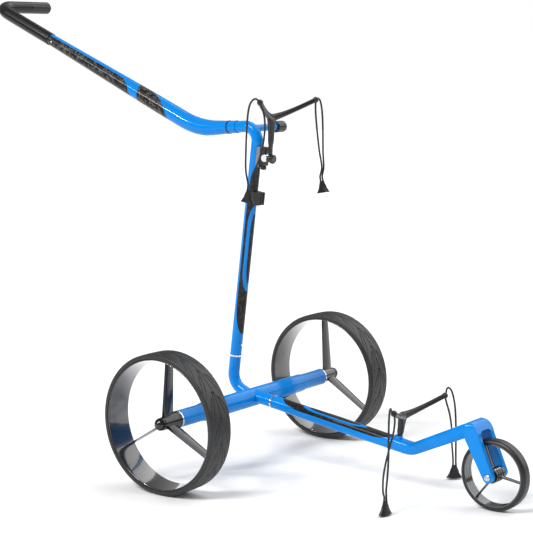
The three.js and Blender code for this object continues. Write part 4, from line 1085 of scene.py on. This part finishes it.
@dataclass
class FrontArm:
    """The arm that falls to the valley and climbs to the fork."""

    fall: float = math.radians(8.0)
    inlay: Lozenge = Lozenge(0.026, 0.308, 78.0, 0.06, 0.05)
    loop: Lozenge = Lozenge(0.08, 0.242, 48.0, 0.035, 0.045)
    core: Lozenge = Lozenge(0.096, 0.226, 32.0, 0.035, 0.045)

    def build(self, frame: dict) -> None:
        """Builds the arm's pieces."""
        along = (math.cos(self.fall), 0.0, -math.sin(self.fall))
        above = (math.sin(self.fall), 0.0, math.cos(self.fall))
        inlaid = InlaidPaint(
            "arm_inlaid_paint",
            origin=tuple(centre("arm_joint_ring")),
            along=along,
            upright=above,
            dark=(self.inlay,),
            loop=self.loop,
            core=self.core,
            flake=0.2,
        )
        polished(frame, "front_arm", inlaid)
        polished(frame, "front_fork", PAINT, bevel=0.0008)
        polished(frame, "front_axle_bolt", STEEL, bevel=0.0003)
        polished(frame, "front_axle_nut", STEEL, bevel=0.0003)
        FrontWheel().build(frame)


@dataclass
class Cradle:
    """A moulded Y-shaped bag cradle: stem and two ribbed arms with ball tips, melted together."""

    node: str
    body: str
    foot: tuple[float, float, float]
    fork: tuple[float, float, float]
    tip: tuple[float, float, float]  # the left arm's end
    stem_radius: float
    foot_radius: float
    foot_depth: float  # half the depth of the stem's foot
    foot_share: float = 0.3  # how far up the foot reaches
    foot_run: float = 0.12  # how soon the foot grows into the stem, as a share
    stem_flatness: float = 0.95  # the stem's depth over its width
    flare: float = 0.0085  # how much wider the stem is where the arms leave it
    bar_radius: float = 0.0048
    bar_growth: float = 0.0034  # how much thicker the arms are where they leave the stem
    squareness: float = 2.6  # 2 is round
    tip_radius: float = 0.0065
    rib_radius: float = 0.0014
    sag: tuple[float, float, float] = (0.22, 0.3, 0.12)  # where the arms bend, as shares
    forward: tuple[float, float, float] = (0.99, 0.0, -0.14)
    stem_steps: int = 16
    arm_steps: int = 24
    rib_start: int = 3  # of the arm's steps
    voxel: float = 0.00065
    softening: int = 3

    def build(self) -> None:
        """Builds the cradle as one moulded piece."""
        name = f"{self.node}_moulding"
        made = fused(name, self.parts(), SATIN_BLACK, self.voxel, self.softening)
        show(made, self.body, SATIN_BLACK, self.node)

    def parts(self) -> list[bpy.types.Object]:
        """The stem and both arms, not yet melted together."""
        return [self.stem(), *self.arm(-1.0), *self.arm(1.0)]

    def stem(self) -> bpy.types.Object:
        """The stem, which flares towards the fork."""
        foot, fork = Vector(self.foot), Vector(self.fork)
        steps = self.stem_steps
        stations = [foot.lerp(fork, step / steps) for step in range(steps + 1)]

        def section(share: float) -> tuple[float, float, float]:
            """The stem's half width, half depth and squareness."""
            grown = min(1.0, max(0.0, (share - self.foot_share) / self.foot_run))
            wide = self.foot_radius + (self.stem_radius - self.foot_radius) * grown
            depth = self.stem_radius * self.stem_flatness
            deep = self.foot_depth + (depth - self.foot_depth) * grown
            return wide + self.flare * share**4, deep, 2.5

        return swept("stem", stations, section, SATIN_BLACK, 24)

    def arm(self, hand: float) -> list[bpy.types.Object]:
        """One arm with its rib and ball tip.

        Args:
            hand: -1 for the right arm, 1 for the left.

        Returns:
            Its parts.
        """
        fork = Vector(self.fork)
        tip = Vector((self.tip[0], self.tip[1] * hand, self.tip[2]))
        bend = Vector([a + (b - a) * share for a, b, share in zip(fork, tip, self.sag)])
        shares = [step / self.arm_steps for step in range(self.arm_steps + 1)]
        path = [fork * (1 - t) ** 2 + bend * 2 * t * (1 - t) + tip * t * t for t in shares]
        raised = Vector(self.forward) * self.bar_radius
        rib = [point + raised for point in path[self.rib_start : -1]]

        def section(share: float) -> tuple[float, float, float]:
            """The arm's half sizes, which grow towards the fork."""
            grown = self.bar_radius + self.bar_growth * (1.0 - share) ** 4
            return grown, grown, self.squareness

        def rib_section(_share: float) -> tuple[float, float, float]:
            """The rib's half sizes."""
            return self.rib_radius, self.rib_radius, 2.0

        return [
            swept("arm", path, section, SATIN_BLACK, 20, AHEAD),
            swept("rib", rib, rib_section, SATIN_BLACK, 10, AHEAD),
            ball("tip", tip, self.tip_radius, SATIN_BLACK),
        ]


@dataclass
class UpperCradle(Cradle):
    """The cradle that tilts on the mast's hinge, with an eye for the clamp knob's stud."""

    hinge: tuple[float, float, float] = (0.10477, 0.0, 0.66614)
    eye_radius: float = 0.008
    eye_start: float = 0.0066  # forward of the hinge's axis
    eye_end: float = 0.0126

    def parts(self) -> list[bpy.types.Object]:
        """The stem, the flat eye at its foot and both arms."""
        profile = [(self.eye_start, 0.0), (self.eye_start, self.eye_radius)]
        profile += [(self.eye_end, self.eye_radius), (self.eye_end, 0.0)]
        base, ahead = Vector(self.hinge), Vector(self.forward)
        stem, *arms = super().parts()
        return [stem, turned("eye", base, ahead, profile, SATIN_BLACK, 32), *arms]


@dataclass
class Cradles:
    """The two bag cradles and the upper one's hinge."""

    upper: Cradle = field(
        default_factory=lambda: UpperCradle(
            "upper_cradle",
            "top_cradle",
            foot=(0.1145, 0.0, 0.6648),
            fork=(0.1195, 0.0, 0.7509),
            tip=(0.16347, 0.0965, 0.78592),
            stem_radius=0.0062,
            foot_radius=0.0062,
            foot_depth=0.003,
        )
    )
    lower: Cradle = field(
        default_factory=lambda: Cradle(
            "lower_cradle",
            "bottom_cradle",
            foot=(0.4372, 0.0, 0.0985),
            fork=(0.4467, 0.0, 0.1579),
            tip=(0.4872, 0.0965, 0.1869),
            stem_radius=0.0068,
            foot_radius=0.0047,
            foot_depth=0.0047,
        )
    )

    def build(self, frame: dict) -> None:
        """Builds the cradles' pieces."""
        self.upper.build()
        self.lower.build()
        polished(frame, "swivel_barrel", CHROME, bevel=0.0003)
        polished(frame, "cradle_knob", GLOSS_BLACK, bevel=0.0004)


# ---------------------------------------------------------------- cords


@dataclass(frozen=True)
class Hook:
    """Where a cord's hook hangs: its mouth's place, its turn and its lean, in degrees."""

    at: tuple[float, float, float]
    yaw: float
    tilt: float
    height: float = 0.026
    mouth_width: float = 0.017  # half widths and depths
    neck_width: float = 0.0047
    mouth_depth: float = 0.007
    neck_depth: float = 0.0042
    wall: float = 0.0015
    width_bend: float = 1.5  # how hollow its flanks are, 1 is straight
    depth_bend: float = 1.2
    levels: int = 14
    sides: int = 32

    def place(self, shift: Vector) -> Matrix:
        """The hook's own frame in the part's frame."""
        turn = Matrix.Rotation(math.radians(self.yaw), 4, "Z")
        lean = Matrix.Rotation(math.radians(self.tilt), 4, "Y")
        return Matrix.Translation(Vector(self.at) + shift) @ turn @ lean

    def ring(self, place: Matrix, height: float, inset: float) -> list[Vector]:
        """One level of the bell.

        Args:
            place: the hook's own frame.
            height: above its mouth.
            inset: 0 on the outside, or the wall's thickness.

        Returns:
            The level's points.
        """
        left = 1.0 - height / self.height
        wide, deep = left**self.width_bend, left**self.depth_bend
        wide = self.neck_width + (self.mouth_width - self.neck_width) * wide - inset
        deep = self.neck_depth + (self.mouth_depth - self.neck_depth) * deep - inset
        points = []
        for step in range(self.sides):
            angle = 2.0 * math.pi * step / self.sides
            points.append(place @ Vector((wide * math.cos(angle), deep * math.sin(angle), height)))
        return points

    def bell(self, name: str, shift: Vector) -> bpy.types.Object:
        """The hook: a flared bell, hollow and open below."""
        place = self.place(shift)
        heights = [self.height * (1.0 - level / self.levels) for level in range(self.levels + 1)]
        rings = [self.ring(place, height, 0.0) for height in heights]
        rings += [self.ring(place, height, self.wall) for height in reversed(heights[1:])]
        points = [point for ring in rings for point in ring]
        faces: list[Sequence[int]] = []
        for level in range(len(rings) - 1):
            for step in range(self.sides):
                a, b = level * self.sides + step, level * self.sides + (step + 1) % self.sides
                faces.append([a, b, b + self.sides, a + self.sides])
        faces.append(range(self.sides))
        faces.append(range(len(points) - self.sides, len(points)))
        return mesh_object(name, points, faces, SATIN_BLACK)


@dataclass(frozen=True)
class ElasticCord:
    """One elastic cord: out of a cradle's tip, down to its hook and back to the tip."""

    name: str
    body: str
    hook: Hook
    outward: tuple[tuple[float, float, float], ...]
    back: tuple[tuple[float, float, float], ...]
    diameter: float = 0.004

    def route(self, shift: Vector) -> list[Vector]:
        """The cord's points in the part's frame."""
        there = [Vector(point) + shift for point in self.outward]
        turn = [self.hook.place(shift) @ Vector((across, 0.0, up)) for across, up in HOOK_TURN]
        if (there[-1] - turn[0]).length > (there[-1] - turn[-1]).length:
            turn.reverse()
        return [*there, *turn, *(Vector(point) + shift for point in self.back)]

    def build(self, shift: Vector) -> None:
        """Builds the cord and its hook."""
        hook = self.hook.bell(f"bell_{self.name}", shift)
        show(hook, self.body, SATIN_BLACK, f"hook_{self.name}")
        path = smooth_line(self.route(shift), 6)
        curve = bpy.data.curves.new(f"elastic_{self.name}", "CURVE")
        curve.dimensions = "3D"
        curve.bevel_depth = self.diameter / 2.0
        curve.bevel_resolution = 3
        curve.use_fill_caps = True
        line = curve.splines.new("POLY")
        line.points.add(len(path) - 1)
        for point, place in zip(line.points, path):
            point.co = (*place, 1.0)
        curve.materials.append(ELASTIC.material())
        made = linked(f"elastic_{self.name}", curve)
        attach(made, self.body)
        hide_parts(f"cord_{self.name}")
        length = sum((b - a).length for a, b in zip(path, path[1:]))
        LOG.info("cord %s is %.3f m long", self.name, length)


def smooth_line(points: Sequence[Vector], steps: int) -> list[Vector]:
    """A centripetal Catmull-Rom line through points.

    Args:
        points: the points that the line passes through.
        steps: short runs between two of them.

    Returns:
        The line's points.
    """
    ends = [points[0] * 2.0 - points[1], *points, points[-1] * 2.0 - points[-2]]
    line = [points[0].copy()]
    for p0, p1, p2, p3 in zip(ends, ends[1:], ends[2:], ends[3:]):
        t1 = (p1 - p0).length ** 0.5
        t2 = t1 + (p2 - p1).length ** 0.5
        t3 = t2 + (p3 - p2).length ** 0.5
        for step in range(1, steps + 1):
            t = t1 + (t2 - t1) * step / steps
            a1 = p0 * ((t1 - t) / t1) + p1 * (t / t1)
            a2 = p1 * ((t2 - t) / (t2 - t1)) + p2 * ((t - t1) / (t2 - t1))
            a3 = p2 * ((t3 - t) / (t3 - t2)) + p3 * ((t - t2) / (t3 - t2))
            b1 = a1 * ((t2 - t) / t2) + a2 * (t / t2)
            b2 = a2 * ((t3 - t) / (t3 - t1)) + a3 * ((t - t1) / (t3 - t1))
            line.append(b1 * ((t2 - t) / (t2 - t1)) + b2 * ((t - t1) / (t2 - t1)))
    return line


# The turn of a cord inside its hook: (across, up) in the hook's frame, in metres.
HOOK_TURN = (
    (0.0029, 0.035), (0.0031, 0.028), (0.0046, 0.021), (0.0074, 0.014), (0.0079, 0.0095),
    (0.0057, 0.005), (0.0, 0.0031), (-0.0057, 0.005), (-0.0079, 0.0095), (-0.0074, 0.014),
    (-0.0046, 0.021), (-0.0031, 0.028), (-0.0029, 0.035),
)

# Each cord's points, measured from the rear axle's middle in x and y and from the floor in z.
CORDS = (
    ElasticCord(
        "upper_right", "top_cord_right", Hook((0.098, -0.136, 0.586), 0.0, 8.0),
        ((0.1019, -0.1032, 0.7906), (0.1019, -0.11, 0.7938), (0.1014, -0.119, 0.792),
         (0.1008, -0.128, 0.784), (0.1, -0.1335, 0.768), (0.0985, -0.1365, 0.735),
         (0.096, -0.137, 0.69), (0.095, -0.1365, 0.65)),
        ((0.105, -0.129, 0.64), (0.109, -0.114, 0.666), (0.1115, -0.101, 0.7),
         (0.1125, -0.0955, 0.732), (0.1115, -0.095, 0.756), (0.1078, -0.0956, 0.771),
         (0.105, -0.096, 0.7798)),
    ),
    ElasticCord(
        "upper_left", "top_cord_left", Hook((0.102, 0.124, 0.586), 0.0, -10.0),
        ((0.1019, 0.1038, 0.7892), (0.1026, 0.1098, 0.786), (0.103, 0.115, 0.775),
         (0.103, 0.1195, 0.75), (0.102, 0.1225, 0.712), (0.1015, 0.1235, 0.672),
         (0.1025, 0.1245, 0.64)),
        ((0.0995, 0.1215, 0.64), (0.0985, 0.114, 0.676), (0.099, 0.106, 0.716),
         (0.1, 0.0995, 0.752), (0.101, 0.097, 0.77), (0.1017, 0.0965, 0.7796)),
    ),
    ElasticCord(
        "lower_right", "bottom_cradle", Hook((0.446, -0.158, 0.0035), 78.0, 0.0),
        ((0.4255, -0.103, 0.19), (0.4275, -0.109, 0.195), (0.432, -0.118, 0.2015),
         (0.437, -0.129, 0.201), (0.441, -0.138, 0.186), (0.4435, -0.143, 0.152),
         (0.446, -0.147, 0.112), (0.4465, -0.1515, 0.076), (0.446, -0.155, 0.048)),
        ((0.442, -0.1595, 0.046), (0.4385, -0.154, 0.072), (0.4375, -0.143, 0.102),
         (0.4375, -0.129, 0.13), (0.436, -0.1135, 0.156), (0.4315, -0.1025, 0.174),
         (0.4284, -0.0987, 0.1814)),
    ),
    ElasticCord(
        "lower_left", "bottom_cradle", Hook((0.424, 0.14, 0.0035), 40.0, 0.0),
        ((0.4255, 0.1015, 0.1915), (0.4245, 0.105, 0.1985), (0.4255, 0.111, 0.201),
         (0.428, 0.118, 0.194), (0.4305, 0.126, 0.17), (0.43, 0.133, 0.136),
         (0.428, 0.138, 0.098), (0.4265, 0.141, 0.064)),
        ((0.4225, 0.135, 0.056), (0.428, 0.122, 0.082), (0.4325, 0.1115, 0.122),
         (0.432, 0.104, 0.15), (0.4288, 0.0988, 0.17), (0.4266, 0.0972, 0.1803)),
    ),
)


# ---------------------------------------------------------------- studio


@dataclass(frozen=True)
class Sun:
    """A light that shines evenly over the whole floor."""

    name: str
    place: tuple[float, float, float]  # the way that it shines from
    spread: float  # how wide it is, in degrees
    power: float  # in watts per square metre
    aim: tuple[float, float, float] = (0.0, 0.0, 0.35)

    def build(self) -> None:
        """Puts the light into the scene."""
        data = bpy.data.lights.new(self.name, "SUN")
        data.angle = math.radians(self.spread)
        data.energy = self.power
        lamp = linked(self.name, data)
        lamp.location = self.place
        towards = Vector(self.aim) - Vector(self.place)
        lamp.rotation_euler = towards.to_track_quat("-Z", "Y").to_euler()


@dataclass
class Studio:
    """The camera, the floor and the light."""

    camera_place: tuple[float, float, float] = (2.04066, -2.5217, 0.8874)
    azimuth: float = math.radians(37.547)
    elevation: float = math.radians(8.101)
    roll: float = math.radians(-0.447)
    lens: float = 101.8
    floor_radius: float = 14.0
    floor_drop: float = 0.00003  # below the wheels
    floor_steps: int = 64
    room_light: float = 0.3
    suns: tuple[Sun, ...] = (
        Sun("front_light", (-0.3, -2.4, 3.0), 22.0, 2.2),
        Sun("back_light", (1.2, 2.6, 3.2), 75.0, 2.0),
        Sun("strip_light", (-1.365, -2.307, 1.682), 3.0, 0.7),
    )

    def build(self) -> None:
        """Sets up the camera, floor and light."""
        self.camera()
        self.floor()
        for sun in self.suns:
            sun.build()
        self.room()
        bpy.context.scene.view_settings.view_transform = "Standard"

    def camera(self) -> None:
        """The camera at its place, turned by azimuth, elevation and roll."""
        a, e, r = self.azimuth, self.elevation, self.roll
        right = Vector((math.cos(a), math.sin(a), 0.0))
        back = Vector((math.sin(a) * math.cos(e), -math.cos(a) * math.cos(e), math.sin(e)))
        above = back.cross(right)
        turned_right = right * math.cos(r) + above * math.sin(r)
        turned_up = above * math.cos(r) - right * math.sin(r)
        data = bpy.data.cameras.new("main_camera")
        data.lens = self.lens
        data.sensor_width = 36.0
        data.clip_end = 60.0
        camera = linked("main_camera", data)
        turn = Matrix((turned_right, turned_up, back)).transposed().to_4x4()
        camera.matrix_world = Matrix.Translation(self.camera_place) @ turn
        bpy.context.scene.camera = camera

    def room(self) -> None:
        """A room that looks white and lights the trolley softly from all round."""
        world = bpy.data.worlds.new("pale_room")
        world.use_nodes = True
        sheet = NodeSheet(world.node_tree)
        seen = sheet.add("ShaderNodeLightPath", output="Is Camera Ray")
        strength = self.room_light + seen * (1.0 - self.room_light)
        glow = sheet.add("ShaderNodeBackground", inputs={"Color": WHITE, "Strength": strength})
        sheet.node("ShaderNodeOutputWorld", inputs={"Surface": glow})
        bpy.context.scene.world = world

    def floor(self) -> None:
        """A plain pale floor."""
        finish = Finish("pale_floor", Slot.PLASTIC, (0.93, 0.93, 0.93), 1.0)
        rim = [2.0 * math.pi * i / self.floor_steps for i in range(self.floor_steps)]
        reach, drop = self.floor_radius, self.floor_drop
        points = [Vector((reach * math.cos(a), reach * math.sin(a), -drop)) for a in rim]
        made = mesh_object("studio_floor", points, [range(self.floor_steps)], finish)


# ---------------------------------------------------------------- assembly


def main() -> None:
    """Builds the trolley's pieces in order."""
    logging.basicConfig(level=logging.INFO, format="%(name)s: %(message)s")
    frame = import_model()
    Studio().build()
    shift = Vector((centre("rear_tyre_right").x, 0.0, 0.0))
    for cord in CORDS:
        cord.build(shift)
    Axle().build(frame)
    for side in SIDES:
        RearWheel(side).build(frame)
    Mast().build(frame)
    Handle().build(frame)
    FrontArm().build(frame)
    Cradles().build(frame)


if __name__ == "__main__":
    main()
